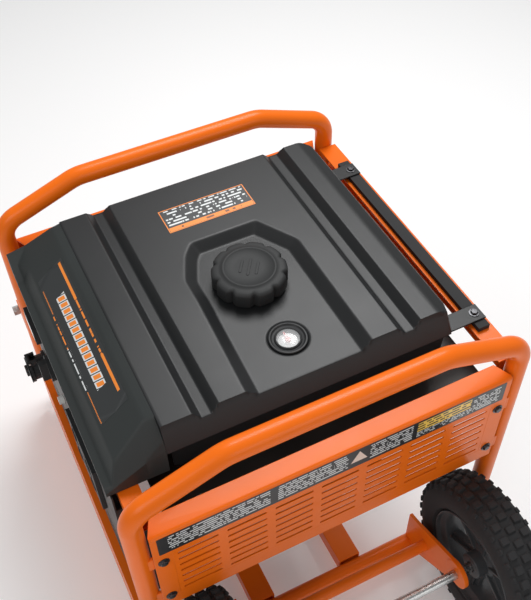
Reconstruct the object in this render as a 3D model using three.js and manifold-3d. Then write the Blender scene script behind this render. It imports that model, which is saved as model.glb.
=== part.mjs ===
// Portable generator: a two-hoop tube frame that carries a fuel tank, a front
// control panel, a single-cylinder engine driving an alternator along Y, two
// wheels at the near (-Y) end and a folding transport handle at the far (+Y) end.
// Millimetres, +Z up, floor at z = 0, control panel facing -X.

import * as THREE from "three";
import { mergeVertices } from "three/addons/utils/BufferGeometryUtils.js";
import Module from "manifold-3d";

const wasm = await Module();
wasm.setup();

// ---------------------------------------------------------------- dimensions

const gap = 0.3; // clearance between pieces that touch
const runGap = 0.4; // radial clearance of a piece that turns in another
const eps = 1; // overshoot of a cut past the face it opens

// Tube frame.
const tubeRadius = 16;
const hoopSpacing = 591.2; // hoop plane to hoop plane, along Y
const legSpacing = 604.6; // leg centre to leg centre, along X
const hoopTop = 587; // height of the top run's centre-line
const shoulderDrop = 51; // top run to where the leg and slope centre-lines would meet
const topRun = 331; // length of the flat top run between slope corners
const shoulderBend = 42;
const crownBend = 70;
const baseBend = 55;
const footHeight = 18;
const footRadius = 24;
const footX = 200;

// Slotted side panels.
const panelDrop = 101; // top run's centre-line to the panel's top edge
const panelHeight = 215;
const sheet = 2;
const topFlange = 32;
const bottomFlange = 22;
const flangeChamfer = 12;
const slotLength = 61;
const slotHeight = 5;
const slotPitchX = 74;
const slotPitchZ = 17.8;
const slotColumns = 7;
const slotRows = 7;
const topSlotDrop = 66; // panel top to the first row's centre
const panelBoltX = 13; // in from the panel's end
const panelBoltDrops = [72, 179]; // panel top to each bolt
const panelHoleRadius = 3.5;
const tabHeight = 28;
const tabThickness = 5;

// Rails between the hoops.
const rearRailDepth = 45;
const rearRailFlange = 34;
const rearRailSheet = 3;
const frontRailSize = 30;
const frontRailWall = 2.5;
const baseRailWidth = 40;
const baseRailHeight = 30;
const baseRailWall = 3;

// Apron that closes the foot of the control end, on two flat struts.
const apronTop = 150;
const apronBottom = 24;
const apronFlange = 30;
const apronSlotColumns = 6;
const apronSlotRows = 3;
const apronSlotPitch = 84;
const strutY = 150;
const strutWidth = 24;
const strutThickness = 8;

// Fuel tank.
const tankDrop = 11; // top run's centre-line to the tank's top
const tankSkirtDrop = 48; // tank top to its widest line
const tankDepth = 131;
const tankEndInset = 67.6; // hoop plane to the tank's widest line
const tankEndSlope = 12; // how far the ends lean in above the widest line
const tankFrontInset = 80.8; // leg centre to the tank's front face
const tankRearInset = 61.3; // leg centre to the tank's rear face
const tankRearSlope = 34;
const tankCornerReach = 40; // along Y, of the two rear corners
const tankWall = 3;
const reliefDepth = 12; // depth of the top channels and of the cap's recess
const channelX = 157.5;
const channelTopWidth = 38;
const channelFloorWidth = 15;
const notchHalf = 112;
const notchFloorHalf = 90;
const notchDepth = 23; // of the step in the tank's far edge, seen from above
const tankTabWidth = 30;
const padHeight = 8;
const padWidth = 20;

// Filler, cap and gauge, all in the recess.
const capX = -3;
const capY = -28;
const capRadius = 57;
const capHeight = 30;
const capLobes = 10;
const recessMargin = { front: 11, rear: 25, far: 31, mouth: 18 }; // round the cap
const neckRadius = 34;
const neckWall = 3;
const neckHeight = 16; // above the recess floor
const gaugeX = -2;
const gaugeY = -151;
const gaugeCupRadius = 29;
const gaugeRadius = 20;
const gaugeDepth = 9;
const gaugeWall = 3;

// Front cover and control panel.
const coverProud = 10.7; // leg centre to the cover's lip
const coverLipRise = 14; // panel top to the cover's lip
const coverLipWidth = 10;
const coverWall = 3;
const coverClearance = 2; // cover edge to the rail under it
const coverFarReach = 12; // how far the cover runs past the tank at the far end
const controlProud = 6.2; // leg centre to the control panel's outer face
const controlSheet = 2.5;
const controlOverhang = 4; // past the tank's widest line, at each end
const controlToApron = 15;
const louvreWidth = 90;
const louvrePitchY = 140;
const louvrePitchZ = 16;
const controlDepth = 45;
const controlEarHeight = 30;
const controlEarDrop = 150; // panel top to the ears' top

// Pieces on the control panel, each placed by its centre.
const socketY = 185;
const socketZ = 296;
const socketRadius = 21;
const socketReach = 27;
const lidRadius = 23.5;
const lidThickness = 5;
const lidPinRadius = 1.8;
const outletY = -70;
const outletZ = 352;
const outletWidth = 128;
const outletHeight = 108;
const outletThickness = 7;
const displayY = 165;
const displayZ = 424;
const displayWidth = 62;
const displayHeight = 36;
const displayThickness = 9;
const switchY = 70;
const switchZ = 420;
const switchRadius = 22;
const switchReach = 20;
const breakerY = 60;
const breakerZ = 345;
const breakerRadius = 7;
const breakerReach = 9;

// Engine: everything is placed from the crank axis.
const crankX = -30;
const mountHeight = 22; // rubber mounts, base rails to engine feet
const shaftHeight = 130; // engine feet to the crank axis
const shaftRadius = 12.5;
const crankcaseNearY = 10;
const crankcaseFarY = 165;
const crankcaseRadius = 95;
const crankcaseWall = 15;
const footPlate = 12;
const footReach = 120; // crank axis to the foot plates' ends, along X
const mountRadius = 18;
const cylinderTilt = 65; // from vertical towards +X, degrees
const boreRadius = 38;
const barrelRadius = 47;
const barrelTop = 150; // crank axis to the head joint
const finSize = 112;
const finThickness = 3;
const finPitch = 10;
const finCount = 6;
const headThickness = 32;
const rockerThickness = 26;
const crankThrow = 28;
const webRadius = 48;
const webThickness = 12;
const pinRadius = 14;
const pinLength = 31;

// Fan side of the engine.
const shroudRadius = 124;
const shroudWall = 3;
const shroudDepth = 67;
const flywheelRadius = 108;
const flywheelThickness = 26;
const flywheelVanes = 12;
const recoilRadius = 72;
const recoilDepth = 36;
const recoilWall = 3;
const pulleyRadius = 55;
const pulleyThickness = 14;
const gripX = -262;
const gripSpacing = 20; // control panel's end to the grip
const gripZ = 236;
const gripLength = 92;
const gripRadius = 12;
const ropeRadius = 3;

// Alternator.
const alternatorRadius = 105;
const alternatorWall = 6;
const alternatorNearY = -190;
const endCoverDepth = 42;
const statorInner = 62;
const rotorRadius = 58;
const stackNearY = -170;
const stackFarY = -30;

// Intake, exhaust and fuel.
const filterLength = 125;
const filterReach = 170; // crank axis to the filter box's front
const filterNearY = 25;
const filterFarY = 150;
const filterRise = 116; // crank axis to the filter box's underside
const filterHeight = 94;
const carburettorLength = 70;
const carburettorY = 85;
const carburettorRise = 158; // crank axis to the intake's axis
const mufflerReach = 155; // crank axis to the muffler's front end
const mufflerLength = 290;
const mufflerNearY = -262;
const mufflerFarY = -95;
const mufflerClearance = 15; // alternator to muffler
const mufflerHeight = 96;
const mufflerWall = 2.5;
const mufflerCorner = 28;
const exhaustRadius = 14;
const exhaustWall = 2.5;
const guardSheet = 1.6;
const guardOffset = 6;
const shieldInset = 12; // control panel's back to the heat shield
const shieldLegGap = 4; // heat shield to the rear leg
const shieldReach = 203; // of the heat shield, from the tabs inward
const shieldFlange = 46;
const tapInset = 36.5; // tank front to the tap's stem
const tapY = 178;
const tapHeight = 34;
const hoseRadius = 5;

// Wheels and axle.
const wheelRadius = 150;
const wheelWidth = 72;
const wheelX = 226;
const tyreClearance = 4.82; // tyre to the hoop's base run and to the panel
const rimRadius = 98;
const axleRadius = 8;
const carrierX = 174;
const carrierThickness = 6;

// Folding handle.
const handleRadius = 12.5;
const handleOffset = 39.4; // hoop plane to the handle's plane
const pivotZ = 292;
const handleDrop = 242; // pivot to the cross run's centre-line
const handleBend = 60;
const handleTip = 18; // arm past the pivot
const earGap = 0.4; // clevis ear to the handle arm
const pivotRadius = 5;
const pivotHeadRadius = 9;
const pivotHeadLength = 11;
const gripSleeveWall = 4.5;
const gripSleeveLength = 190;

// ------------------------------------------------------------ derived values

const hoopY = hoopSpacing / 2;
const legX = legSpacing / 2;
const shoulderHeight = hoopTop - shoulderDrop;
const baseZ = footHeight + tubeRadius;
const baseTop = baseZ + tubeRadius;
const railEndY = hoopY + tubeRadius - Math.max(topFlange, 2 * tubeRadius) - gap;
const rearRailX = legX + tubeRadius;

const panelTop = hoopTop - panelDrop;
const panelBottom = panelTop - panelHeight;
const panelFaceY = hoopY + tubeRadius;
const panelHalfX = legX - tubeRadius - gap;

const tankTop = hoopTop - tankDrop;
const tankSkirt = tankTop - tankSkirtDrop;
const tankBottom = tankTop - tankDepth;
const tankHalfY = hoopY - tankEndInset;
const tankTopHalfY = tankHalfY - tankEndSlope;
const tankFrontX = tankFrontInset - legX;
const tankRearX = legX - tankRearInset;
const tankRearTopX = tankRearX - tankRearSlope;
const reliefFloor = tankTop - reliefDepth;
const recessRight = capX + capRadius + recessMargin.rear;

const coverFrontX = -legX - coverProud;
const coverLipTop = panelTop + coverLipRise;
const coverBottom = panelTop + coverClearance;
const coverNearY = -tankHalfY;
const coverFarY = tankHalfY + coverFarReach;
const controlX = -legX - controlProud; // outer face of the control panel
const controlTop = coverBottom - 1;
const controlBottom = apronTop + controlToApron;
const controlHalfY = tankHalfY + controlOverhang;
const frontRailX = controlX + controlSheet + 8; // outer face of the front rail

const engineBase = baseTop + mountHeight;
const crankZ = engineBase + shaftHeight;
const crankY = (crankcaseNearY + crankcaseFarY) / 2;
const mountX = [crankX - 85, crankX + 85];
const mountY = [-120, 95];
const shroudFarY = crankcaseFarY + gap + shroudDepth;
const gripY = controlHalfY + gripSpacing;

const filterBox = {
  x0: crankX - filterReach,
  x1: crankX - filterReach + filterLength,
  y0: filterNearY,
  y1: filterFarY,
  z0: crankZ + filterRise,
  z1: crankZ + filterRise + filterHeight,
};
const carburettorX0 = filterBox.x1 + gap;
const carburettorX1 = carburettorX0 + carburettorLength;
const carburettorZ = crankZ + carburettorRise;
const mufflerBase = crankZ + alternatorRadius + mufflerClearance;
const muffler = {
  x0: crankX - mufflerReach,
  x1: crankX - mufflerReach + mufflerLength,
  y0: mufflerNearY,
  y1: mufflerFarY,
  z0: mufflerBase,
  z1: mufflerBase + mufflerHeight,
};

// The tyres stand off far enough to miss both the hoop's base run and the side panel.
const wheelZ = wheelRadius;
const tyreToBase = Math.sqrt((wheelRadius + tubeRadius + tyreClearance) ** 2 - (wheelZ - baseZ) ** 2);
const tyreAtPanel = Math.sqrt(Math.max(wheelRadius ** 2 - (panelBottom - wheelZ) ** 2, 0));
const wheelY = -hoopY - Math.max(tyreToBase, tubeRadius + tyreClearance + tyreAtPanel);
const pivotY = hoopY + handleOffset;
const earThickness = tubeRadius - handleRadius - earGap; // the ears end flush with the leg

// ------------------------------------------------------------------ materials

const finish = (color, roughness, metalness) =>
  new THREE.MeshStandardMaterial({ color, roughness, metalness });

const paint = finish(0xf0701a, 0.35, 0.1);
const tankPlastic = finish(0x3a3b3d, 0.6, 0.05);
const blackPlastic = finish(0x1d1e20, 0.55, 0.0);
const rubber = finish(0x161616, 0.9, 0.0);
const castMetal = finish(0x8d9093, 0.5, 0.8);
const steel = finish(0x9a9c9f, 0.35, 1.0);
const blackSteel = finish(0x202124, 0.5, 0.6);
const copper = finish(0xa8643a, 0.45, 0.9);
const red = finish(0xb3241c, 0.4, 0.0);
const white = finish(0xe9e9e4, 0.4, 0.0);

// ------------------------------------------------------------- shape helpers

// A closed geometry as a solid that can be joined and cut.
function solid(geometry) {
  const bare = geometry.index ? geometry.toNonIndexed() : geometry.clone();
  for (const name of Object.keys(bare.attributes)) {
    if (name !== "position") bare.deleteAttribute(name);
  }
  const merged = mergeVertices(bare, 1e-4);
  return new wasm.Manifold(
    new wasm.Mesh({
      numProp: 3,
      vertProperties: merged.attributes.position.array,
      triVerts: new Uint32Array(merged.index.array),
    }),
  );
}

// A solid as a geometry that a mesh can show.
function geometryOf(body) {
  const { vertProperties, triVerts } = body.getMesh();
  const geometry = new THREE.BufferGeometry();
  geometry.setAttribute("position", new THREE.Float32BufferAttribute(vertProperties, 3));
  geometry.setIndex(new THREE.Uint32BufferAttribute(triVerts, 1));
  geometry.computeVertexNormals();
  return geometry;
}

const join = (...bodies) => bodies.reduce((a, b) => a.add(b));
const cut = (body, ...tools) => tools.reduce((a, b) => a.subtract(b), body);

// The turn that carries local X, Y, Z onto the named axes of a piece.
const X = new THREE.Vector3(1, 0, 0);
const Y = new THREE.Vector3(0, 1, 0);
const Z = new THREE.Vector3(0, 0, 1);
const basis = {
  x: new THREE.Matrix4().makeBasis(Y, Z, X),
  y: new THREE.Matrix4().makeBasis(X, Z, Y.clone().negate()),
  z: new THREE.Matrix4(),
};

function box(x0, x1, y0, y1, z0, z1) {
  const geometry = new THREE.BoxGeometry(x1 - x0, y1 - y0, z1 - z0);
  geometry.translate((x0 + x1) / 2, (y0 + y1) / 2, (z0 + z1) / 2);
  return solid(geometry);
}

// An outline carried along an axis. Outlines are (y, z) for x, (x, z) for y and (x, y) for z.
function prism(axis, outline, from, to) {
  const shape = new THREE.Shape(outline.map(([a, b]) => new THREE.Vector2(a, b)));
  const geometry = new THREE.ExtrudeGeometry(shape, { depth: to - from, bevelEnabled: false });
  geometry.applyMatrix4(basis[axis]);
  const start = { x: [from, 0, 0], y: [0, to, 0], z: [0, 0, from] }[axis];
  geometry.translate(...start);
  return solid(geometry);
}

// Points round a circle.
function ring(radius, sides, a = 0, b = 0) {
  return Array.from({ length: sides }, (_, i) => {
    const turn = (2 * Math.PI * (i + 0.5)) / sides;
    return [a + radius * Math.cos(turn), b + radius * Math.sin(turn)];
  });
}

// A round bar along an axis, centred on the two other coordinates.
function rod(axis, radius, from, to, a, b, sides = 16) {
  return prism(axis, ring(radius, sides, a, b), from, to);
}

// A round cut whose flats, not its corners, lie at the radius, so a bar of that radius passes.
function bored(axis, radius, from, to, a, b, sides = 16) {
  return rod(axis, radius / Math.cos(Math.PI / sides), from, to, a, b, sides);
}

// A rectangle whose corners are rounded by arcs.
function roundedBox(a0, a1, b0, b1, radius, steps = 3) {
  const centres = [
    [a1 - radius, b1 - radius],
    [a0 + radius, b1 - radius],
    [a0 + radius, b0 + radius],
    [a1 - radius, b0 + radius],
  ];
  return centres.flatMap(([a, b], corner) =>
    Array.from({ length: steps + 1 }, (_, i) => {
      const turn = (Math.PI / 2) * (corner + i / steps);
      return [a + radius * Math.cos(turn), b + radius * Math.sin(turn)];
    }),
  );
}

// A closed profile of (radius, height) points turned about an axis through (a, b).
function turned(axis, profile, a, b, segments = 20) {
  const points = profile.map(([r, h]) => new THREE.Vector2(r, h));
  points.push(points[0].clone());
  const geometry = new THREE.LatheGeometry(points, segments);
  geometry.rotateX(Math.PI / 2);
  geometry.applyMatrix4(turnedBasis[axis]);
  const place = { x: [0, a, b], y: [a, 0, b], z: [a, b, 0] }[axis];
  geometry.translate(...place);
  const body = solid(geometry);
  return body.volume() < 0 ? solid(flipped(geometry)) : body;
}
const turnedBasis = {
  x: new THREE.Matrix4().makeBasis(Y, Z, X),
  y: new THREE.Matrix4().makeBasis(Z, X, Y),
  z: new THREE.Matrix4(),
};

// The same surface with its faces turned round.
function flipped(geometry) {
  const index = geometry.index.array;
  for (let i = 0; i < index.length; i += 3) {
    [index[i + 1], index[i + 2]] = [index[i + 2], index[i + 1]];
  }
  return geometry;
}

// A path that passes through its points, one sweep step to each.
class Route extends THREE.Curve {
  constructor(points) {
    super();
    this.points = points;
  }
  getPointAt(u) {
    return this.points[Math.round(u * (this.points.length - 1))].clone();
  }
  getTangentAt(u) {
    const i = Math.round(u * (this.points.length - 1));
    const before = this.points[Math.max(i - 1, 0)];
    const after = this.points[Math.min(i + 1, this.points.length - 1)];
    return after.clone().sub(before).normalize();
  }
}

// A polyline with each inner corner replaced by an arc of the given radius.
function rounded(corners, radii, steps = 4) {
  const points = [corners[0]];
  for (let i = 1; i < corners.length - 1; i++) {
    const radius = Array.isArray(radii) ? radii[i - 1] : radii;
    const back = corners[i - 1].clone().sub(corners[i]).normalize();
    const on = corners[i + 1].clone().sub(corners[i]).normalize();
    const half = back.angleTo(on) / 2;
    const reach = radius / Math.tan(half);
    const middle = back.clone().add(on).normalize();
    const centre = corners[i].clone().addScaledVector(middle, radius / Math.sin(half));
    const first = corners[i].clone().addScaledVector(back, reach).sub(centre);
    const last = corners[i].clone().addScaledVector(on, reach).sub(centre);
    const sweep = first.angleTo(last);
    for (let k = 0; k <= steps; k++) {
      const share = k / steps;
      const from = Math.sin((1 - share) * sweep) / Math.sin(sweep);
      const to = Math.sin(share * sweep) / Math.sin(sweep);
      const arm = first.clone().multiplyScalar(from).addScaledVector(last, to);
      points.push(centre.clone().add(arm));
    }
  }
  points.push(corners[corners.length - 1]);
  return points;
}

// A round bar swept along points.
function swept(points, radius, sides = 10) {
  const shape = new THREE.Shape(ring(radius, sides).map(([a, b]) => new THREE.Vector2(a, b)));
  return solid(
    new THREE.ExtrudeGeometry(shape, {
      steps: points.length - 1,
      extrudePath: new Route(points),
      bevelEnabled: false,
    }),
  );
}

// The solid half-space, as a large block, on the side of a plane that its normal points to.
function beyond(point, normal, size = 400) {
  const geometry = new THREE.BoxGeometry(size, size, size);
  geometry.translate(0, 0, size / 2);
  geometry.applyQuaternion(new THREE.Quaternion().setFromUnitVectors(Z, normal.normalize()));
  geometry.translate(...point);
  return solid(geometry);
}

const at = (x, y, z) => new THREE.Vector3(x, y, z);

const generator = new THREE.Group();
function add(name, body, material) {
  const mesh = new THREE.Mesh(geometryOf(body), material);
  mesh.name = name;
  generator.add(mesh);
}

// ----------------------------------------------------------------- the frame

// One closed tube hoop in the plane y, as a lower and an upper bend joined on the legs.
function hoop(y) {
  const middle = (baseZ + shoulderHeight) / 2;
  const lower = [
    at(legX, y, middle + eps),
    at(legX, y, baseZ),
    at(-legX, y, baseZ),
    at(-legX, y, middle + eps),
  ];
  const upper = [
    at(-legX, y, middle - eps),
    at(-legX, y, shoulderHeight),
    at(-topRun / 2, y, hoopTop),
    at(topRun / 2, y, hoopTop),
    at(legX, y, shoulderHeight),
    at(legX, y, middle - eps),
  ];
  return join(
    swept(rounded(lower, baseBend, 4), tubeRadius),
    swept(rounded(upper, [shoulderBend, crownBend, crownBend, shoulderBend], 3), tubeRadius),
  );
}

// The four welded tabs behind a side panel's bolts; out is -1 at the near end, 1 at the far.
function panelTabs(out) {
  const face = panelFaceY - sheet - gap;
  const ys = [out * face, out * (face - tabThickness)].sort((a, b) => a - b);
  const tabs = [-1, 1].flatMap((side) =>
    panelBoltDrops.map((drop) => {
      const z = panelTop - drop;
      const inner = panelHalfX - 2 * panelBoltX;
      const xs = [side * inner, side * legX].sort((a, b) => a - b);
      return box(...xs, ...ys, z - tabHeight / 2, z + tabHeight / 2);
    }),
  );
  return join(...tabs);
}

// Two welded plates and a spacer tube that carry the axle outboard of the near hoop.
function axleCarriers() {
  const bossOutline = ring(axleRadius + 18, 12, wheelY, wheelZ);
  const plate = (x) => {
    const arm = [
      [-hoopY - 4, baseZ - 8],
      [-hoopY + 10, baseZ + 4],
      [-hoopY + 10, baseZ + 90],
      [-hoopY - 10, baseZ + 96],
      [wheelY + 8, wheelZ + axleRadius + 17],
      [wheelY - 8, wheelZ - axleRadius - 16],
    ];
    const x1 = x + carrierThickness;
    return join(prism("x", arm, x, x1), prism("x", bossOutline, x, x1));
  };
  const bore = bored("x", axleRadius + gap, -wheelX, wheelX, wheelY, wheelZ);
  const spacerY = (wheelY - hoopY) / 2 + 20;
  const spacer = rod("x", 10, -carrierX, carrierX, spacerY, (wheelZ + baseZ) / 2 + 10, 12);
  const post = (side) => {
    const x = side * (carrierX - carrierThickness / 2);
    return box(x - 14, x + 14, -hoopY - 4, -hoopY + 4, baseZ, baseZ + 90);
  };
  return cut(
    join(plate(-carrierX), plate(carrierX - carrierThickness), spacer, post(-1), post(1)),
    bore,
  );
}

// The welded clevis ears that the handle's arms pivot between.
function handleEars() {
  const offset = handleRadius + earGap;
  const outline = [
    [hoopY - 4, pivotZ - 24],
    [hoopY + 14, pivotZ - 24],
    [pivotY + 14, pivotZ - 10],
    [pivotY + 14, pivotZ + 12],
    [hoopY + 14, pivotZ + 26],
    [hoopY - 4, pivotZ + 26],
  ];
  const ears = [-1, 1].flatMap((side) =>
    [-offset - earThickness, offset].map((shift) => {
      const x = side * legX + shift;
      return prism("x", outline, x, x + earThickness);
    }),
  );
  const bore = bored("x", pivotRadius + gap, -legX - 40, legX + 40, pivotY, pivotZ, 16);
  return cut(join(...ears), bore);
}

function buildFrame() {
  add("near_hoop", join(hoop(-hoopY), panelTabs(-1), axleCarriers()), paint);
  add("far_hoop", join(hoop(hoopY), panelTabs(1), handleEars()), paint);
  add("near_panel", sidePanel(-1), paint);
  add("far_panel", sidePanel(1), paint);
  for (const [name, side] of [["foot_left", -1], ["foot_right", 1]]) {
    const pad = rod("z", footRadius, 0, footHeight - gap, side * footX, hoopY);
    add(name, pad, rubber);
  }
}

// A slotted sheet with a deep top flange, chamfered at its ends, and a shallow bottom one.
function sidePanel(out) {
  const slots = [];
  for (let row = 0; row < slotRows; row++) {
    for (let column = 0; column < slotColumns; column++) {
      const x = (column - (slotColumns - 1) / 2) * slotPitchX;
      const z = panelTop - topSlotDrop - row * slotPitchZ;
      slots.push(
        box(
          x - slotLength / 2,
          x + slotLength / 2,
          -eps,
          sheet + eps,
          z - slotHeight / 2,
          z + slotHeight / 2,
        ),
      );
    }
  }
  const boltHoles = [-1, 1].flatMap((side) =>
    panelBoltDrops.map((drop) =>
      rod(
        "y",
        panelHoleRadius,
        -eps,
        sheet + eps,
        side * (panelHalfX - panelBoltX),
        panelTop - drop,
        8,
      ),
    ),
  );
  const blank = box(-panelHalfX, panelHalfX, 0, sheet, panelBottom, panelTop);
  const faceSheet = cut(blank, join(...slots, ...boltHoles));
  const flange = (depth, z) => {
    const plan = [
      [-panelHalfX, 0],
      [panelHalfX, 0],
      [panelHalfX, depth - flangeChamfer],
      [panelHalfX - flangeChamfer, depth],
      [-panelHalfX + flangeChamfer, depth],
      [-panelHalfX, depth - flangeChamfer],
    ];
    return prism("z", plan, z, z + sheet);
  };
  const near = join(faceSheet, flange(topFlange, panelTop - sheet), flange(bottomFlange, panelBottom));
  const moved = near.translate([0, -panelFaceY, 0]);
  return out < 0 ? moved : moved.rotate([0, 0, 180]);
}

// A sheet lapped over the legs' outer sides, flanged inward along both edges.
function frontApron() {
  const inner = -legX - tubeRadius - gap;
  const outer = inner - sheet;
  const flange = (z) => box(outer, inner + apronFlange, -railEndY, railEndY, z, z + sheet);
  const slots = [];
  for (let column = 0; column < apronSlotColumns; column++) {
    for (let row = 0; row < apronSlotRows; row++) {
      const y = (column - (apronSlotColumns - 1) / 2) * apronSlotPitch;
      const z = (apronBottom + apronTop) / 2 + (row - (apronSlotRows - 1) / 2) * slotPitchZ;
      const half = slotLength / 2;
      slots.push(
        box(outer - eps, inner + eps, y - half, y + half, z - slotHeight / 2, z + slotHeight / 2),
      );
    }
  }
  const face = box(outer, inner, -panelFaceY, panelFaceY, apronBottom, apronTop);
  const railFront = mountX[0] - baseRailWidth / 2;
  const struts = [-strutY, strutY].map((y) =>
    box(
      inner - eps,
      railFront + eps,
      y - strutWidth / 2,
      y + strutWidth / 2,
      apronBottom,
      apronBottom + strutThickness,
    ),
  );
  return join(cut(face, join(...slots)), flange(apronTop - sheet), flange(apronBottom), ...struts);
}

function buildRails() {
  const inner = rearRailX - rearRailSheet;
  const rearSection = [
    [rearRailX - rearRailFlange, panelTop],
    [rearRailX - rearRailFlange, panelTop - rearRailSheet],
    [inner, panelTop - rearRailSheet],
    [inner, panelTop - rearRailDepth + rearRailSheet],
    [inner - 12, panelTop - rearRailDepth + rearRailSheet],
    [inner - 12, panelTop - rearRailDepth],
    [rearRailX, panelTop - rearRailDepth],
    [rearRailX, panelTop],
  ];
  add("rear_rail", prism("y", rearSection, -railEndY, railEndY), paint);

  const squareTube = (x0, x1, z0, z1, wall) =>
    cut(
      box(x0, x1, -railEndY, railEndY, z0, z1),
      box(x0 + wall, x1 - wall, -railEndY - eps, railEndY + eps, z0 + wall, z1 - wall),
    );
  const frontTube = squareTube(
    frontRailX,
    frontRailX + frontRailSize,
    panelTop - frontRailSize,
    panelTop,
    frontRailWall,
  );
  add("front_rail", frontTube, paint);

  mountX.forEach((x, i) => {
    const half = baseRailWidth / 2;
    const rail = squareTube(x - half, x + half, baseTop - baseRailHeight, baseTop, baseRailWall);
    if (i === 0) add("base_rail_front", join(rail, frontApron()), paint);
    else add("base_rail_rear", rail, paint);
  });

  let number = 1;
  for (const y of mountY) {
    for (const x of mountX) {
      const block = rod("z", mountRadius, baseTop + gap, engineBase - gap, x, y, 16);
      add("engine_mount_" + number, block, rubber);
      number += 1;
    }
  }
}

// ------------------------------------------------------------------ the tank

// Outline of the cap's recess, open at the near edge, grown by a margin.
function recessOutline(grow) {
  const front = capX - capRadius - recessMargin.front - grow;
  const rear = recessRight + grow;
  const far = capY + capRadius + recessMargin.far + grow;
  return [
    [capX - capRadius - recessMargin.mouth - grow, -tankHalfY - eps],
    [rear, -tankHalfY - eps],
    [rear, capY + 31],
    [rear - 33 - grow / 2, far],
    [front + 26 + grow / 2, far],
    [front, capY + 50],
    [front, capY + 12],
  ];
}

function tankBody() {
  const acrossSection = [
    [tankFrontX, tankBottom + 25],
    [tankFrontX + 25, tankBottom],
    [tankRearX - 40, tankBottom],
    [tankRearX - 12, tankBottom + 30],
    [tankRearX - 8, tankSkirt - 6],
    [tankRearX, tankSkirt],
    [tankRearX, tankSkirt + 8],
    [tankRearTopX + 20, tankTop - 8],
    [tankRearTopX, tankTop],
    [tankFrontX, tankTop],
  ];
  const alongSection = [
    [-tankHalfY + 34, tankBottom],
    [tankHalfY - 34, tankBottom],
    [tankHalfY - 10, tankBottom + 30],
    [tankHalfY - 8, tankSkirt - 6],
    [tankHalfY, tankSkirt],
    [tankTopHalfY, tankTop],
    [-tankTopHalfY, tankTop],
    [-tankHalfY, tankSkirt],
    [-tankHalfY + 8, tankSkirt - 6],
    [-tankHalfY + 10, tankBottom + 30],
  ];
  const cornerSteps = 3;
  const farCorner = Array.from({ length: cornerSteps + 1 }, (_, i) => {
    const turn = ((Math.PI / 2) * i) / cornerSteps;
    const fall = tankCornerReach * (1 - Math.sin(turn));
    return [tankRearX - tankCornerReach * (1 - Math.cos(turn)), tankHalfY - fall];
  });
  const plan = [
    [tankFrontX, -tankHalfY],
    [tankRearX - 12, -tankHalfY],
    [tankRearX, -tankHalfY + tankCornerReach],
    ...farCorner,
    [tankFrontX, tankHalfY],
  ];
  return prism("y", acrossSection, -tankHalfY, tankHalfY)
    .intersect(prism("x", alongSection, tankFrontX, tankRearX))
    .intersect(prism("z", plan, tankBottom, tankTop));
}

function buildTank() {
  const channel = (x) => {
    const top = channelTopWidth / 2;
    const low = channelFloorWidth / 2;
    const section = [
      [x - low, reliefFloor],
      [x + low, reliefFloor],
      [x + top, tankTop + eps],
      [x - top, tankTop + eps],
    ];
    return prism("y", section, -tankHalfY - eps, tankHalfY + eps);
  };
  const recess = join(
    prism("z", recessOutline(0), reliefFloor, tankTop + eps),
    prism("z", recessOutline(9), reliefFloor + reliefDepth / 2, tankTop + eps),
  );
  const notch = prism(
    "z",
    [
      [capX - notchFloorHalf, tankTopHalfY - notchDepth],
      [capX + notchFloorHalf, tankTopHalfY - notchDepth],
      [capX + notchHalf, tankHalfY + eps],
      [capX - notchHalf, tankHalfY + eps],
    ],
    tankSkirt - 2,
    tankTop + eps,
  );
  const inside = box(
    tankFrontX + tankWall,
    tankRearX - 45,
    -tankHalfY + 45,
    tankTopHalfY - notchDepth - tankWall,
    tankBottom + tankWall,
    reliefFloor - tankWall,
  ).intersect(
    prism(
      "y",
      [
        [tankFrontX + tankWall, tankBottom + 30],
        [tankFrontX + 30, tankBottom + tankWall],
        [tankRearX - 50, tankBottom + tankWall],
        [tankRearX - 45, tankBottom + 20],
        [tankRearX - 45, reliefFloor - tankWall],
        [tankFrontX + tankWall, reliefFloor - tankWall],
      ],
      -tankHalfY,
      tankHalfY,
    ),
  );
  const filler = bored("z", neckRadius + gap, reliefFloor - 2 * tankWall, tankTop, capX, capY);
  const gaugeCup = bored("z", gaugeCupRadius, reliefFloor - 2, tankTop, gaugeX, gaugeY);
  const gaugeHole = bored("z", gaugeRadius + gap, reliefFloor - 20, tankTop, gaugeX, gaugeY);
  const tapX = tankFrontX + tapInset;
  const outlet = rod("z", 5, tankBottom - eps, tankBottom + 10, tapX, tapY, 12);
  const tabs = [-1, 1].flatMap((along) => {
    const y = along * (tankHalfY - 38);
    const y0 = y - tankTabWidth / 2;
    const z0 = panelTop + padHeight + 2 * gap;
    return [
      box(frontRailX + 4, tankFrontX + 10, y0, y0 + tankTabWidth, z0, z0 + 3),
      box(tankRearX - 20, rearRailX - 4, y0, y0 + tankTabWidth, z0, z0 + 3),
    ];
  });
  add(
    "fuel_tank",
    cut(
      join(tankBody(), ...tabs),
      channel(-channelX),
      channel(channelX),
      recess,
      notch,
      inside,
      filler,
      gaugeCup,
      gaugeHole,
      outlet,
    ),
    tankPlastic,
  );

  const pad = (x) => {
    const half = tankHalfY - 10;
    return box(x, x + padWidth, -half, half, panelTop + gap, panelTop + gap + padHeight);
  };
  add("tank_pad_front", pad(frontRailX + 5), rubber);
  add("tank_pad_rear", pad(rearRailX - rearRailFlange + 6), rubber);
}

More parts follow.
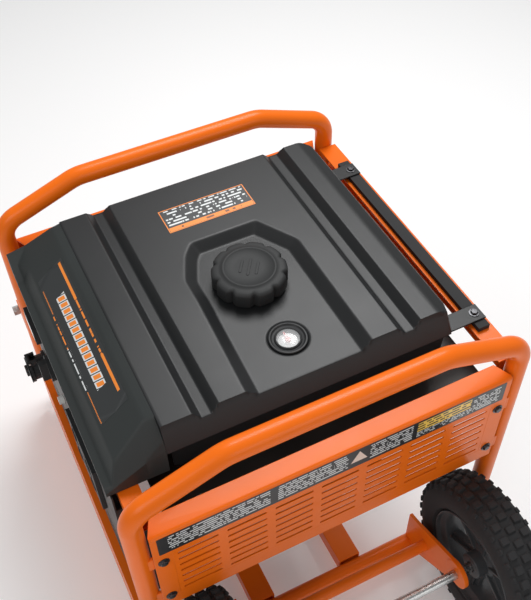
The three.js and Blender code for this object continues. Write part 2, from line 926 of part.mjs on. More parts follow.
function buildFiller() {
  const lipRadius = neckRadius + 8;
  const neckTop = reliefFloor + neckHeight;
  const neckLow = reliefFloor - 12;
  const bore = neckRadius - neckWall;
  const profile = [
    [bore, neckLow],
    [neckRadius, neckLow],
    [neckRadius, reliefFloor + gap],
    [lipRadius, reliefFloor + gap],
    [lipRadius, reliefFloor + 3],
    [neckRadius, reliefFloor + 3],
    [neckRadius, neckTop],
    [bore, neckTop],
  ];
  add("filler_neck", turned("z", profile, capX, capY), steel);

  const base = reliefFloor + 4;
  const top = base + capHeight - 2;
  const count = capLobes * 4;
  const lobed = Array.from({ length: count }, (_, i) => {
    const turn = (2 * Math.PI * i) / count;
    const radius = capRadius - 2.6 * (1 - Math.abs(Math.cos((turn * capLobes) / 2)));
    return [capX + radius * Math.cos(turn), capY + radius * Math.sin(turn)];
  });
  const hollow = bored("z", neckRadius + 12, base - eps, neckTop + 2, capX, capY);
  const crown = rod("z", capRadius - 16, top - 3, top + 2, capX, capY, 20);
  const cap = cut(join(prism("z", lobed, base, top), crown), hollow);
  const plug = rod("z", bore - 1, reliefFloor, neckTop + 4, capX, capY);
  add("fuel_cap", join(cap, plug), blackPlastic);

  const floor = reliefFloor - gaugeDepth;
  const bezelProfile = [
    [0, floor],
    [gaugeRadius, floor],
    [gaugeRadius, reliefFloor - 2 + gap],
    [gaugeCupRadius - 2, reliefFloor - 2 + gap],
    [gaugeCupRadius - 2, reliefFloor + 1],
    [gaugeRadius - gaugeWall, reliefFloor + 1],
    [gaugeRadius - gaugeWall, floor + gaugeWall],
    [0, floor + gaugeWall],
  ];
  add("gauge_bezel", turned("z", bezelProfile, gaugeX, gaugeY, 20), blackPlastic);
  const needleLow = floor + gaugeWall + gap;
  const reach = gaugeRadius - gaugeWall - 2;
  const hub = rod("z", 4, needleLow, needleLow + 4, gaugeX, gaugeY, 12);
  const pointer = box(gaugeX - 1.5, gaugeX + 1.5, gaugeY, gaugeY + reach, needleLow + 1, needleLow + 3);
  add("gauge_needle", join(hub, pointer), red);
}

// The tap under the tank, its lever and the hose to the carburettor.
function buildFuelLine() {
  const x = tankFrontX + tapInset;
  const top = tankBottom - gap;
  const low = top - tapHeight;
  const middle = low + 13;
  const stem = join(
    rod("z", 9, low, top, x, tapY, 12),
    rod("x", 8, x - 20, x, tapY, middle, 12),
    rod("x", 4, x, x + 22, tapY, middle, 12),
  );
  add("fuel_tap", stem, castMetal);
  const leverX = x - 20 - gap;
  const lever = join(
    rod("x", 9, leverX - 7, leverX, tapY, middle, 16),
    box(leverX - 7, leverX - 2, tapY - 4, tapY + 4, middle - 34, middle),
  );
  add("fuel_tap_lever", lever, blackPlastic);

  const inlet = carburettorX0 + 14;
  const hose = rounded(
    [
      at(x + 22 + gap, tapY, middle),
      at(inlet, tapY, middle),
      at(inlet, carburettorY, middle),
      at(inlet, carburettorY, carburettorZ + 27 + gap),
    ],
    12,
    3,
  );
  add("fuel_hose", swept(hose, hoseRadius, 8), rubber);
}

// --------------------------------------------------- front cover and controls

function buildCover() {
  const seam = tankFrontX - gap;
  // The cover's outer shape, or with an inset the space inside it, open below and behind.
  const shape = (inset) => {
    const past = inset > 0 ? eps : 0;
    const lip = coverFrontX + inset;
    const section = [
      [seam + past, coverBottom - past],
      [seam + past, tankTop - inset],
      [seam - 15, tankTop - 5 - inset],
      [coverFrontX + 23 + inset * 0.4, coverLipTop + 28 - inset],
      [coverFrontX + coverLipWidth + inset * 0.8, coverLipTop + 3 - inset * 0.6],
      [lip, coverLipTop - inset],
      [lip, coverBottom - past],
    ];
    const body = prism("y", section, coverNearY + inset, coverFarY - inset);
    const ends = [
      [coverNearY, -1],
      [coverFarY, 1],
    ].flatMap(([y, side]) => [
      // The hip, a facet that falls towards the lip and the end at once.
      beyond([seam - 31, y - side * 25, tankTop - 25 - inset], at(-0.37, side * 0.64, 0.67)),
      // The end face, which leans in as the tank's does.
      beyond([seam, y - side * inset, tankSkirt], at(0, side * tankSkirtDrop, tankEndSlope)),
    ]);
    return cut(body, ...ends);
  };
  add("front_cover", cut(shape(0), shape(coverWall)), blackPlastic);
}

function buildControlPanel() {
  const back = controlX + controlSheet;
  const inner = back + controlDepth;
  const sideTop = panelTop - frontRailSize - 6;
  const earTop = controlTop - controlEarDrop;
  const outletHole = box(
    controlX - eps,
    back + eps,
    outletY - outletWidth / 2 + 8,
    outletY + outletWidth / 2 - 8,
    outletZ - outletHeight / 2 + 8,
    outletZ + outletHeight / 2 - 8,
  );
  const pieces = [
    box(controlX, back, -controlHalfY, controlHalfY, controlBottom, controlTop),
    box(controlX, inner, -controlHalfY, controlHalfY, controlBottom, controlBottom + controlSheet),
    box(controlX, inner, -controlHalfY, -controlHalfY + controlSheet, controlBottom, sideTop),
    box(controlX, inner, controlHalfY - controlSheet, controlHalfY, controlBottom, sideTop),
    box(controlX, back, -railEndY, railEndY, earTop - controlEarHeight, earTop),
    ...[-150, 150].map((y) =>
      box(controlX, frontRailX - gap, y - 20, y + 20, controlTop - 16, controlTop),
    ),
  ];
  const louvres = [-1, 0, 1].flatMap((column) =>
    [0, 1, 2, 3].map((row) => {
      const y = column * louvrePitchY;
      const z = controlBottom + 1.5 * louvrePitchZ + row * louvrePitchZ;
      const half = louvreWidth / 2;
      return box(
        controlX - eps,
        back + eps,
        y - half,
        y + half,
        z - slotHeight / 2,
        z + slotHeight / 2,
      );
    }),
  );
  const holes = [
    outletHole,
    ...louvres,
    bored("x", socketRadius - 4 + gap, controlX - eps, back + eps, socketY, socketZ),
    bored("x", breakerRadius + runGap, controlX - eps, back + eps, breakerY, breakerZ, 16),
    bored("x", 5 + runGap, controlX - eps, back + eps, switchY, switchZ, 16),
  ];
  add("control_panel", cut(join(...pieces), ...holes), blackSteel);

  buildSocket(back);

  const front = controlX - gap;
  const face = box(
    front - outletThickness,
    front,
    outletY - outletWidth / 2,
    outletY + outletWidth / 2,
    outletZ - outletHeight / 2,
    outletZ + outletHeight / 2,
  );
  const depth = front - outletThickness;
  const wells = [-1, 1].flatMap((side) =>
    [-1, 1].map((level) => {
      const y = outletY + side * 31;
      const z = outletZ + level * 26;
      const outline = roundedBox(y - 17, y + 17, z - 14, z + 14, 8, 3);
      return prism("x", outline, depth - eps, depth + 3);
    }),
  );
  add("outlet_block", cut(face, ...wells), blackPlastic);

  const screen = roundedBox(
    displayY - displayWidth / 2,
    displayY + displayWidth / 2,
    displayZ - displayHeight / 2,
    displayZ + displayHeight / 2,
    5,
  );
  const window = roundedBox(
    displayY - displayWidth / 2 + 6,
    displayY + displayWidth / 2 - 6,
    displayZ - displayHeight / 2 + 6,
    displayZ + displayHeight / 2 - 6,
    3,
  );
  add(
    "display_meter",
    cut(
      prism("x", screen, front - displayThickness, front),
      prism("x", window, front - displayThickness - eps, front - displayThickness + 2),
    ),
    blackPlastic,
  );

  const knobBack = front;
  const knob = join(
    rod("x", switchRadius, knobBack - 8, knobBack, switchY, switchZ, 28),
    box(
      knobBack - switchReach,
      knobBack - 7,
      switchY - 5,
      switchY + 5,
      switchZ - switchRadius + 2,
      switchZ + switchRadius - 2,
    ),
    rod("x", 5, knobBack - eps, back + 8, switchY, switchZ, 16),
  );
  add("engine_switch", knob, red);

  const button = rod("x", breakerRadius, front - breakerReach, back + 14, breakerY, breakerZ, 16);
  add("breaker_button", button, white);
}

// The round locking socket, its flip lid and the lid's pin.
function buildSocket(back) {
  const front = controlX - gap;
  const mouth = front - socketReach;
  const bore = socketRadius - 5;
  const profile = [
    [0, back + 18],
    [socketRadius - 4, back + 18],
    [socketRadius - 4, front],
    [socketRadius + 4, front],
    [socketRadius + 4, front - 5],
    [socketRadius, front - 5],
    [socketRadius, mouth],
    [bore, mouth],
    [bore, mouth + 14],
    [0, mouth + 14],
  ];
  const pinX = mouth - lidThickness / 2;
  const pinZ = socketZ + lidRadius + 3;
  const lugs = [-1, 1].map((side) => {
    const y = socketY + side * 9;
    const outline = [
      [y - 2, socketZ + socketRadius - 4],
      [y + 2, socketZ + socketRadius - 4],
      [y + 2, pinZ + 4],
      [y - 2, pinZ + 4],
    ];
    return prism("x", outline, mouth - lidThickness - 1, mouth + 10);
  });
  const pinBore = bored("y", lidPinRadius + gap, socketY - 20, socketY + 20, pinX, pinZ, 12);
  add("twist_socket", cut(join(turned("x", profile, socketY, socketZ, 20), ...lugs), pinBore), blackPlastic);
  add("socket_lid_pin", rod("y", lidPinRadius, socketY - 13, socketY + 13, pinX, pinZ, 12), steel);

  const lidFace = mouth - gap;
  const knuckle = rod("y", 4, socketY - 6, socketY + 6, pinX, pinZ, 12);
  const web = box(
    lidFace - lidThickness,
    lidFace,
    socketY - 6,
    socketY + 6,
    socketZ + lidRadius - 6,
    pinZ,
  );
  const disc = cut(
    rod("x", lidRadius, lidFace - lidThickness, lidFace, socketY, socketZ, 20),
    ...[-1, 1].map((side) =>
      box(
        lidFace - lidThickness - eps,
        lidFace + eps,
        socketY + side * 9 - 3,
        socketY + side * 9 + 3,
        socketZ + socketRadius - 4 - gap - 1,
        pinZ,
      ),
    ),
  );
  const thumb = box(
    lidFace - lidThickness,
    lidFace,
    socketY - 6,
    socketY + 6,
    socketZ - lidRadius - 5,
    socketZ - lidRadius + 4,
  );
  add("socket_lid", cut(join(disc, thumb, web, knuckle), pinBore), blackPlastic);
}

// ----------------------------------------------------------------- the engine

// A solid built round the cylinder's own axis (local z), turned into place on the engine.
function onCylinder(body) {
  return body.rotate([0, cylinderTilt, 0]).translate([crankX, crankY, crankZ]);
}
const square = (half, z0, z1) => box(-half, half, -half, half, z0, z1);

function footPlates(y0, y1) {
  return join(
    box(crankX - footReach, crankX + footReach, y0, y1, engineBase, engineBase + footPlate),
    box(crankX - 70, crankX + 70, y0, y1, engineBase, crankZ - 60),
  );
}

function buildEngine() {
  const near = crankcaseNearY;
  const far = crankcaseFarY;
  const fins = Array.from({ length: finCount }, (_, i) => {
    const z = barrelTop - 4 - i * finPitch;
    return square(finSize / 2, z - finThickness, z);
  });
  const barrel = onCylinder(join(rod("z", barrelRadius, 60, barrelTop, 0, 0), ...fins));
  const bore = onCylinder(rod("z", boreRadius, 40, barrelTop + eps, 0, 0));
  const round = rod("y", crankcaseRadius, near, far, crankX, crankZ, 24);
  const cavity = rod(
    "y",
    crankcaseRadius - crankcaseWall,
    near + crankcaseWall,
    far - crankcaseWall,
    crankX,
    crankZ,
    20,
  );
  const shaftBore = bored("y", shaftRadius + runGap, near - eps, far + eps, crankX, crankZ);
  const fillerZ = crankZ - 75;
  const fillerMouth = crankX - crankcaseRadius - 8;
  const fillerBoss = rod("x", 15, fillerMouth, crankX - 60, near + 40, fillerZ, 16);
  const fillerBore = bored("x", 9, fillerMouth - eps, fillerMouth + 25, near + 40, fillerZ, 16);
  const casting = join(round, footPlates(near + 20, far - 15), barrel, fillerBoss);
  add("crankcase", cut(casting, cavity, bore, shaftBore, fillerBore), castMetal);

  const plugX = fillerMouth - gap;
  const dipstick = join(
    rod("x", 13, plugX - 12, plugX, near + 40, fillerZ, 12),
    rod("x", 9 - runGap, plugX - eps, plugX + 20, near + 40, fillerZ, 16),
    box(plugX - 20, plugX - 11, near + 37, near + 43, fillerZ - 11, fillerZ + 11),
  );
  add("dipstick", dipstick, blackPlastic);

  const headLow = barrelTop + gap;
  const headFins = Array.from({ length: 3 }, (_, i) => {
    const z = headLow + 6 + i * finPitch;
    return square(finSize / 2, z, z + finThickness);
  });
  const head = join(
    square(finSize / 2 - 8, headLow, headLow + headThickness),
    ...headFins,
    square(finSize / 2 - 14, headLow + headThickness - eps, headLow + headThickness + rockerThickness),
  );
  add("cylinder_head", onCylinder(head), castMetal);

  const webs = [-1, 1].map((side) => {
    const inner = crankY + (side * pinLength) / 2;
    const ys = [inner, inner + side * webThickness].sort((a, b) => a - b);
    return rod("y", webRadius, ...ys, crankX, crankZ, 20);
  });
  const tilt = THREE.MathUtils.degToRad(cylinderTilt);
  const pin = rod(
    "y",
    pinRadius,
    crankY - pinLength / 2 - eps,
    crankY + pinLength / 2 + eps,
    crankX + crankThrow * Math.sin(tilt),
    crankZ + crankThrow * Math.cos(tilt),
    16,
  );
  const journals = join(
    rod("y", shaftRadius, alternatorNearY - 22, crankY - pinLength / 2 - 4, crankX, crankZ),
    rod("y", shaftRadius, crankY + pinLength / 2 + 4, far + shroudDepth - 20, crankX, crankZ),
  );
  add("crankshaft", join(journals, ...webs, pin), steel);
}

function buildFanSide() {
  const y0 = crankcaseFarY + gap;
  const skin = cut(
    rod("y", shroudRadius, y0, shroudFarY, crankX, crankZ, 24),
    rod("y", shroudRadius - shroudWall, y0 - eps, shroudFarY - shroudWall, crankX, crankZ, 24),
    rod("y", recoilRadius - 6, y0, shroudFarY + eps, crankX, crankZ, 24),
  );
  add("fan_shroud", skin, blackPlastic);

  const wheel0 = y0 + 8;
  const wheel1 = wheel0 + flywheelThickness;
  const vanes = Array.from({ length: flywheelVanes }, (_, i) =>
    box(-2, 2, 0, 14, 55, flywheelRadius - 4)
      .rotate([0, (360 * i) / flywheelVanes, 0])
      .translate([crankX, wheel1 - eps, crankZ]),
  );
  const rim = rod("y", flywheelRadius, wheel0, wheel1, crankX, crankZ, 24);
  const flywheelBore = bored("y", shaftRadius + gap, wheel0 - eps, wheel1 + eps, crankX, crankZ);
  add("flywheel", cut(join(rim, ...vanes), flywheelBore), castMetal);

  const c0 = shroudFarY + gap;
  const c1 = c0 + recoilDepth;
  const domeProfile = [
    [recoilRadius, c0],
    [recoilRadius, c0 + 12],
    [recoilRadius - 10, c1],
    [0, c1],
    [0, c1 - recoilWall],
    [recoilRadius - 10 - recoilWall, c1 - recoilWall],
    [recoilRadius - recoilWall, c0 + 11],
    [recoilRadius - recoilWall, c0],
  ];
  const slots = Array.from({ length: 8 }, (_, i) =>
    box(-3, 3, -8, 8, 26, 54)
      .rotate([0, 45 * i, 0])
      .translate([crankX, c1, crankZ]),
  );
  const ropeZ = crankZ + pulleyRadius - 6;
  const ropeHole = rod("x", ropeRadius + 3, crankX - recoilRadius - 5, crankX - 20, c0 + 16, ropeZ, 12);
  add("recoil_cover", cut(turned("y", domeProfile, crankX, crankZ), ...slots, ropeHole), blackPlastic);

  const pulley = cut(
    rod("y", pulleyRadius, c0 + 9, c0 + 9 + pulleyThickness, crankX, crankZ, 20),
    rod("y", 8, c0 + 8, c0 + 10 + pulleyThickness, crankX, crankZ, 16),
    ...Array.from({ length: 3 }, (_, i) =>
      rod("y", 9, c0 + 8, c0 + 10 + pulleyThickness, 0, 30, 12)
        .rotate([0, 120 * i, 0])
        .translate([crankX, 0, crankZ]),
    ),
  );
  add("recoil_pulley", pulley, blackPlastic);

  const half = gripLength / 2;
  const grip = join(
    rod("z", gripRadius, gripZ - half, gripZ + half, gripX, gripY, 16),
    rod("x", gripRadius - 2, gripX, gripX + 26, gripY, gripZ, 12),
    rod("x", ropeRadius, gripX + 20, gripX + 60, gripY, gripZ, 8),
  );
  add("recoil_grip", grip, blackPlastic);
}

function buildAlternator() {
  const far = crankcaseNearY - gap;
  const near = alternatorNearY;
  const inner = alternatorRadius - alternatorWall;
  const shell = join(
    rod("y", alternatorRadius, near, far, crankX, crankZ, 24),
    footPlates(mountY[0] - 30, mountY[0] + 30),
  );
  const housing = cut(
    shell,
    bored("y", inner, near - eps, far - 8, crankX, crankZ, 24),
    rod("y", shaftRadius + 12, far - 20, far + eps, crankX, crankZ),
  );
  add("alternator_housing", housing, castMetal);
  add(
    "alternator_stator",
    cut(
      rod("y", inner - 1, stackNearY, stackFarY, crankX, crankZ, 24),
      rod("y", statorInner, stackNearY - eps, stackFarY + eps, crankX, crankZ, 20),
    ),
    copper,
  );
  const rotor = cut(
    rod("y", rotorRadius, stackNearY + 5, stackFarY - 5, crankX, crankZ, 20),
    bored("y", shaftRadius + gap, stackNearY, stackFarY, crankX, crankZ),
    ...[0, 90].map((turn) =>
      join(...[-1, 1].map((side) => box(-9, 9, -200, 0, side * 46 - 14, side * 46 + 14)))
        .rotate([0, turn, 0])
        .translate([crankX, 0, crankZ]),
    ),
  );
  add("alternator_rotor", rotor, steel);

  const c1 = near - gap;
  const c0 = c1 - endCoverDepth;
  const dome = [
    [alternatorRadius, c1],
    [alternatorRadius, c0 + 14],
    [alternatorRadius - 14, c0],
    [0, c0],
    [0, c0 + 4],
    [alternatorRadius - 16, c0 + 4],
    [alternatorRadius - 4, c0 + 16],
    [alternatorRadius - 4, c1],
  ];
  const vents = Array.from({ length: 8 }, (_, i) =>
    box(-5, 5, c0 - eps, c0 + 8, 44, 78)
      .rotate([0, 45 * i, 0])
      .translate([crankX, 0, crankZ]),
  );
  add("alternator_end_cover", cut(turned("y", dome, crankX, crankZ), ...vents), castMetal);
}

// ------------------------------------------------------ intake and exhaust

function buildIntake() {
  const f = filterBox;
  const outline = roundedBox(f.x0, f.x1, f.z0, f.z1, 14);
  const lid = roundedBox(f.x0 - 3, f.x1 - 30, f.z0 - 3, f.z1 + 3, 16);
  const inside = roundedBox(f.x0 + 4, f.x1 - 4, f.z0 + 4, f.z1 - 4, 10);
  const body = join(
    prism("y", outline, f.y0, f.y1),
    prism("y", lid, f.y0 + 50, f.y0 + 58),
  );
  const throat = rod("x", 14, f.x1 - 10, f.x1 + eps, carburettorY, carburettorZ);
  const snorkel = box(f.x0 + 20, f.x0 + 60, f.y0 - eps, f.y0 + 6, f.z0 + 12, f.z0 + 40);
  add(
    "air_filter_box",
    cut(body, prism("y", inside, f.y0 + 4, f.y1 - 4), throat, snorkel),
    blackPlastic,
  );

  const x0 = carburettorX0;
  const x1 = carburettorX1;
  const tilt = THREE.MathUtils.degToRad(cylinderTilt);
  const portAlong = barrelTop + gap + headThickness / 2;
  const faceOut = finSize / 2 - 8;
  const portX = crankX + portAlong * Math.sin(tilt) - faceOut * Math.cos(tilt);
  const portZ = crankZ + portAlong * Math.cos(tilt) + faceOut * Math.sin(tilt);
  const outward = at(-Math.cos(tilt), 0, Math.sin(tilt));
  const port = at(portX, carburettorY, portZ).addScaledVector(outward, finSize / 2 - faceOut + 1);
  const manifold = rounded(
    [
      at(x1 - 5, carburettorY, carburettorZ),
      port.clone().addScaledVector(outward, 26),
      port,
    ],
    14,
    3,
  );
  const flangeY = 24;
  const flangeZ = 20;
  const flange = roundedBox(
    carburettorY - flangeY,
    carburettorY + flangeY,
    carburettorZ - flangeZ,
    carburettorZ + flangeZ,
    5,
  );
  const casting = join(
    rod("x", 17, x0, x1, carburettorY, carburettorZ),
    prism("x", flange, x0, x0 + 6),
    rod("z", 16, carburettorZ - 34, carburettorZ, x0 + 34, carburettorY),
    rod("z", 4, carburettorZ, carburettorZ + 27, x0 + 14, carburettorY, 12),
    swept(manifold, 13, 10),
  );
  add("carburettor", casting, castMetal);

  const pivotX = x0 + 30;
  const y = carburettorY - 24 - gap;
  const choke = join(
    rod("y", 6, y - 5, y + 6, pivotX, carburettorZ, 12),
    box(pivotX - 3, pivotX + 3, y - 5, y - 2, carburettorZ, carburettorZ + 34),
    box(pivotX - 6, pivotX + 6, y - 14, y - 2, carburettorZ + 30, carburettorZ + 38),
  );
  add("choke_lever", choke, blackSteel);
}

function buildExhaust() {
  const m = muffler;
  const tilt = THREE.MathUtils.degToRad(cylinderTilt);
  const portAlong = barrelTop + gap + headThickness / 2;
  const headFace = crankY - finSize / 2 - gap;
  const port = at(
    crankX + portAlong * Math.sin(tilt),
    headFace,
    crankZ + portAlong * Math.cos(tilt),
  );
  const pipeX = m.x1 - 40;
  const pipeZ = (m.z0 + m.z1) / 2;
  const route = rounded(
    [
      port,
      at(port.x, port.y - 42, port.z),
      at(pipeX, m.y1 + 40, pipeZ),
      at(pipeX, m.y1 - mufflerWall, pipeZ),
    ],
    [30, 30],
    3,
  );
  const can = roundedBox(m.y0, m.y1, m.z0, m.z1, mufflerCorner);
  const canInside = roundedBox(
    m.y0 + mufflerWall,
    m.y1 - mufflerWall,
    m.z0 + mufflerWall,
    m.z1 - mufflerWall,
    mufflerCorner - mufflerWall,
  );
  const tail = m.x0 + 60;
  const lengthen = (points, reach) => {
    const last = points.length - 1;
    const first = points[0].clone().sub(points[1]).normalize();
    const end = points[last].clone().sub(points[last - 1]).normalize();
    return [
      points[0].clone().addScaledVector(first, reach),
      ...points.slice(1, -1),
      points[last].clone().addScaledVector(end, reach),
    ];
  };
  const body = cut(
    join(
      prism("x", can, m.x0, m.x1),
      swept(route, exhaustRadius, 10),
      rod("y", exhaustRadius + 1, m.y0 - 16, m.y0 + 4, tail, pipeZ, 16),
    ),
    prism("x", canInside, m.x0 + mufflerWall, m.x1 - mufflerWall),
    swept(lengthen(route, 2), exhaustRadius - exhaustWall, 10),
    rod("y", exhaustRadius - exhaustWall, m.y0 - 17, m.y0 + 5, tail, pipeZ, 16),
  );
  add("muffler", body, blackSteel);

  // The guard is a bent sheet over the muffler's near side and top, on two feet.
  const gy = m.y0 - guardOffset;
  const gz = m.z1 + guardOffset;
  const section = [
    [gy - guardSheet, m.z0 + 6],
    [gy, m.z0 + 6],
    [gy, gz],
    [m.y1 - 20, gz],
    [m.y1 - 20, gz + guardSheet],
    [gy - guardSheet, gz + guardSheet],
  ];
  const openings = [];
  for (let column = 0; column < 5; column++) {
    for (let row = 0; row < 3; row++) {
      const x = m.x0 + 20 + column * 52;
      const z = m.z0 + 20 + row * 24;
      const nearTail = Math.abs(x + 20 - tail) < 46 && Math.abs(z + 5 - pipeZ) < 30;
      if (!nearTail) openings.push(box(x, x + 40, gy - 4, gy + 4, z, z + 10));
    }
  }
  openings.push(rod("y", exhaustRadius + 6, gy - 5, gy + 5, tail, pipeZ, 16));
  const standoffs = [m.x0 + 12, m.x1 - 12].map((x) =>
    rod("y", 4, gy - eps, m.y0 - gap, x, pipeZ, 8),
  );

  // The guard's top runs on as a heat shield under the tank, turned up behind the side panel.
  const x0 = controlX + controlSheet + controlDepth + shieldInset;
  const x1 = legX - tubeRadius - shieldLegGap;
  const panelBack = -panelFaceY + sheet + gap;
  const tabBack = panelBack + tabThickness + 1;
  const tabInner = panelHalfX - 36;
  const top = gz + guardSheet;
  const shield = join(
    box(x0, x1, tabBack, tabBack + shieldReach, gz, top),
    box(-tabInner, tabInner, panelBack, tabBack + eps, gz, top),
    box(-tabInner, tabInner, panelBack, panelBack + guardSheet, gz, gz + shieldFlange),
  );
  add(
    "muffler_guard",
    join(cut(prism("x", section, m.x0 + 4, m.x1 - 4), ...openings), shield, ...standoffs),
    steel,
  );
}

// --------------------------------------------------------- wheels and handle

function buildWheels() {
  const half = wheelWidth / 2;
  const hubHalf = 34;
  for (const [name, side] of [["left", -1], ["right", 1]]) {
    const c = side * wheelX;
    const section = [
      [rimRadius + gap, c - half + 8],
      [rimRadius + 12, c - half + 2],
      [wheelRadius - 18, c - half],
      [wheelRadius - 5, c - half + 8],
      [wheelRadius, c - half + 20],
      [wheelRadius, c + half - 20],
      [wheelRadius - 5, c + half - 8],
      [wheelRadius - 18, c + half],
      [rimRadius + 12, c + half - 2],
      [rimRadius + gap, c + half - 8],
    ];
    add("tyre_" + name, turned("x", section, wheelY, wheelZ, 24), rubber);
    const rimSection = [
      [axleRadius + runGap, c - hubHalf],
      [24, c - hubHalf],
      [26, c - 8],
      [rimRadius - 10, c - 6],
      [rimRadius - 6, c - half + 6],
      [rimRadius, c - half + 6],
      [rimRadius, c + half - 6],
      [rimRadius - 6, c + half - 6],
      [rimRadius - 10, c + 6],
      [26, c + 8],
      [24, c + hubHalf],
      [axleRadius + runGap, c + hubHalf],
    ];
    add("rim_" + name, turned("x", rimSection, wheelY, wheelZ, 24), tankPlastic);
  }
  const axleEnd = wheelX + hubHalf + 12;
  const collars = [-1, 1].map((side) => {
    const xs = [side * (axleEnd - 9), side * (axleEnd - 5)].sort((a, b) => a - b);
    return rod("x", axleRadius + 8, ...xs, wheelY, wheelZ, 16);
  });
  add("axle", join(rod("x", axleRadius, -axleEnd, axleEnd, wheelY, wheelZ), ...collars), steel);
}

function buildHandle() {
  const low = pivotZ - handleDrop;
  const corners = [
    at(-legX, pivotY, pivotZ + handleTip),
    at(-legX, pivotY, low),
    at(legX, pivotY, low),
    at(legX, pivotY, pivotZ + handleTip),
  ];
  const bore = bored("x", pivotRadius + runGap, -legX - 40, legX + 40, pivotY, pivotZ, 16);
  add("handle_tube", cut(swept(rounded(corners, handleBend, 4), handleRadius), bore), paint);
  const sleeve = gripSleeveLength / 2;
  add(
    "handle_grip",
    cut(
      rod("x", handleRadius + gripSleeveWall, -sleeve, sleeve, pivotY, low),
      bored("x", handleRadius + gap, -sleeve - eps, sleeve + eps, pivotY, low),
    ),
    rubber,
  );
  const earOut = handleRadius + earGap + earThickness;
  for (const [name, side] of [["left", -1], ["right", 1]]) {
    const head = legX + earOut + gap;
    const tail = legX - earOut - 4;
    const shank = [side * tail, side * head].sort((a, b) => a - b);
    const cap = [side * head, side * (head + pivotHeadLength)].sort((a, b) => a - b);
    const bolt = join(
      rod("x", pivotRadius, ...shank, pivotY, pivotZ, 16),
      rod("x", pivotHeadRadius, ...cap, pivotY, pivotZ, 6),
    );
    add("handle_bolt_" + name, bolt, steel);
  }
}

// ------------------------------------------------------------------ assembly

buildFrame();
buildRails();
buildTank();
buildFiller();
buildFuelLine();
buildCover();
buildControlPanel();
buildEngine();
buildFanSide();
buildAlternator();
buildIntake();
buildExhaust();
buildWheels();
buildHandle();

// The origin is the middle of the whole object's footprint.
const bounds = new THREE.Box3().setFromObject(generator);
generator.position.set(-(bounds.min.x + bounds.max.x) / 2, -(bounds.min.y + bounds.max.y) / 2, 0);

export default generator;
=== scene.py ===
"""Looks of the portable generator: each visible piece in fine mesh, each node in a worked finish.

Lengths are millimetres in the generator's own layout: x = 0 half way between the legs of a
hoop, y = 0 half way between the two hoops, z = 0 on the floor, -x the control side and +y the
handle side. metres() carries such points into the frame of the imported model.
"""

import bmesh
import bpy
import numpy as np
from mathutils import Matrix, Vector


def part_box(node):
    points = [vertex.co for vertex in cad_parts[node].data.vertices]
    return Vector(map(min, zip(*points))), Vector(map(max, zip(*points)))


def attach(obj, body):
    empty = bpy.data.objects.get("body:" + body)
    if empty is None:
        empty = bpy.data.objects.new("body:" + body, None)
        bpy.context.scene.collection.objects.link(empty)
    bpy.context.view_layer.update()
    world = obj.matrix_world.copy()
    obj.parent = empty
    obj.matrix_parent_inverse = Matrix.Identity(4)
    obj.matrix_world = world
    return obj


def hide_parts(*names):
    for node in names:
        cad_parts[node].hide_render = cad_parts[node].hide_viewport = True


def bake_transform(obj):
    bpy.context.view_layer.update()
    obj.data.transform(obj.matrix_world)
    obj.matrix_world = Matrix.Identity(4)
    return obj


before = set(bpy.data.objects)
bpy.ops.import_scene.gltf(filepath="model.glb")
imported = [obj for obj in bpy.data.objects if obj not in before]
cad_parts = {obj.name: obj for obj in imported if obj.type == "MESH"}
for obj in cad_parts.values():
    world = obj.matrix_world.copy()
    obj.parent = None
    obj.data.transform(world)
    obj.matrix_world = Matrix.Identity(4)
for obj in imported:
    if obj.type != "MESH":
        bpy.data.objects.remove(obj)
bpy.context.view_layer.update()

MM = 0.001
AXES = {"x": (1, 2, 0), "y": (0, 2, 1), "z": (0, 1, 2)}

near_low, near_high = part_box("near_panel")
far_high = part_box("far_panel")[1]
CENTRE = np.array([(near_low.x + near_high.x) / 2, (near_low.y + far_high.y) / 2, 0.0])


def metres(points):
    """Millimetres of the generator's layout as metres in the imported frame."""
    return np.asarray(points, float) * MM + CENTRE


def limits(node):
    """Lowest and highest corner of a CAD node, in millimetres of the layout."""
    low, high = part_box(node)
    return (np.array(low) - CENTRE) / MM, (np.array(high) - CENTRE) / MM


def middle_of(node):
    """Middle of a CAD node's box, in millimetres of the layout."""
    low, high = limits(node)
    return (low + high) / 2


# ------------------------------------------------------------------ dimensions

TUBE = 16.0
PANEL_LOW, PANEL_HIGH = limits("near_panel")
PANEL_FACE = -PANEL_LOW[1]
PANEL_HALF = PANEL_HIGH[0]
PANEL_TOP = PANEL_HIGH[2]
PANEL_BOTTOM = PANEL_LOW[2]
HOOP_Y = PANEL_FACE - TUBE
LEG_X = PANEL_HALF + TUBE + 0.3
HOOP_TOP = limits("far_hoop")[1][2] - TUBE
SHOULDER_Z = HOOP_TOP - 51
TOP_RUN = 331.0
BASE_Z = 34.0
SHEET = 2.0

TANK_HIGH = limits("fuel_tank")[1]
TANK_TOP = TANK_HIGH[2]
TANK_HALF = TANK_HIGH[1]
TANK_TOP_HALF = TANK_HALF - 12
TANK_SKIRT = TANK_TOP - 48
TANK_FRONT = limits("front_cover")[1][0] + 0.3
TANK_REAR = 241.0
TANK_REAR_TOP = 207.0
CORNER = 40.0
RELIEF = 12.0
CHANNEL_X = 157.5
CHANNEL_HALF = 19.0
NOTCH_DEPTH = 46.0
LUG_Z = 494.6
LUG_SHEET = 3.0
STRIP_Z = 436.0
STRIP_HEIGHT = 44.0
FLANGE_BEND = 5.0
BOLT_DROPS = (72, 179)
CAP_LOW, CAP_HIGH = limits("fuel_cap")
CAP = (CAP_LOW + CAP_HIGH) / 2
CAP_RADIUS = (CAP_HIGH[0] - CAP_LOW[0]) / 2
GAUGE_LOW, GAUGE_HIGH = limits("gauge_bezel")
GAUGE = (GAUGE_LOW + GAUGE_HIGH) / 2
COVER_LOW, COVER_HIGH = limits("front_cover")


# -------------------------------------------------------------- shader arithmetic


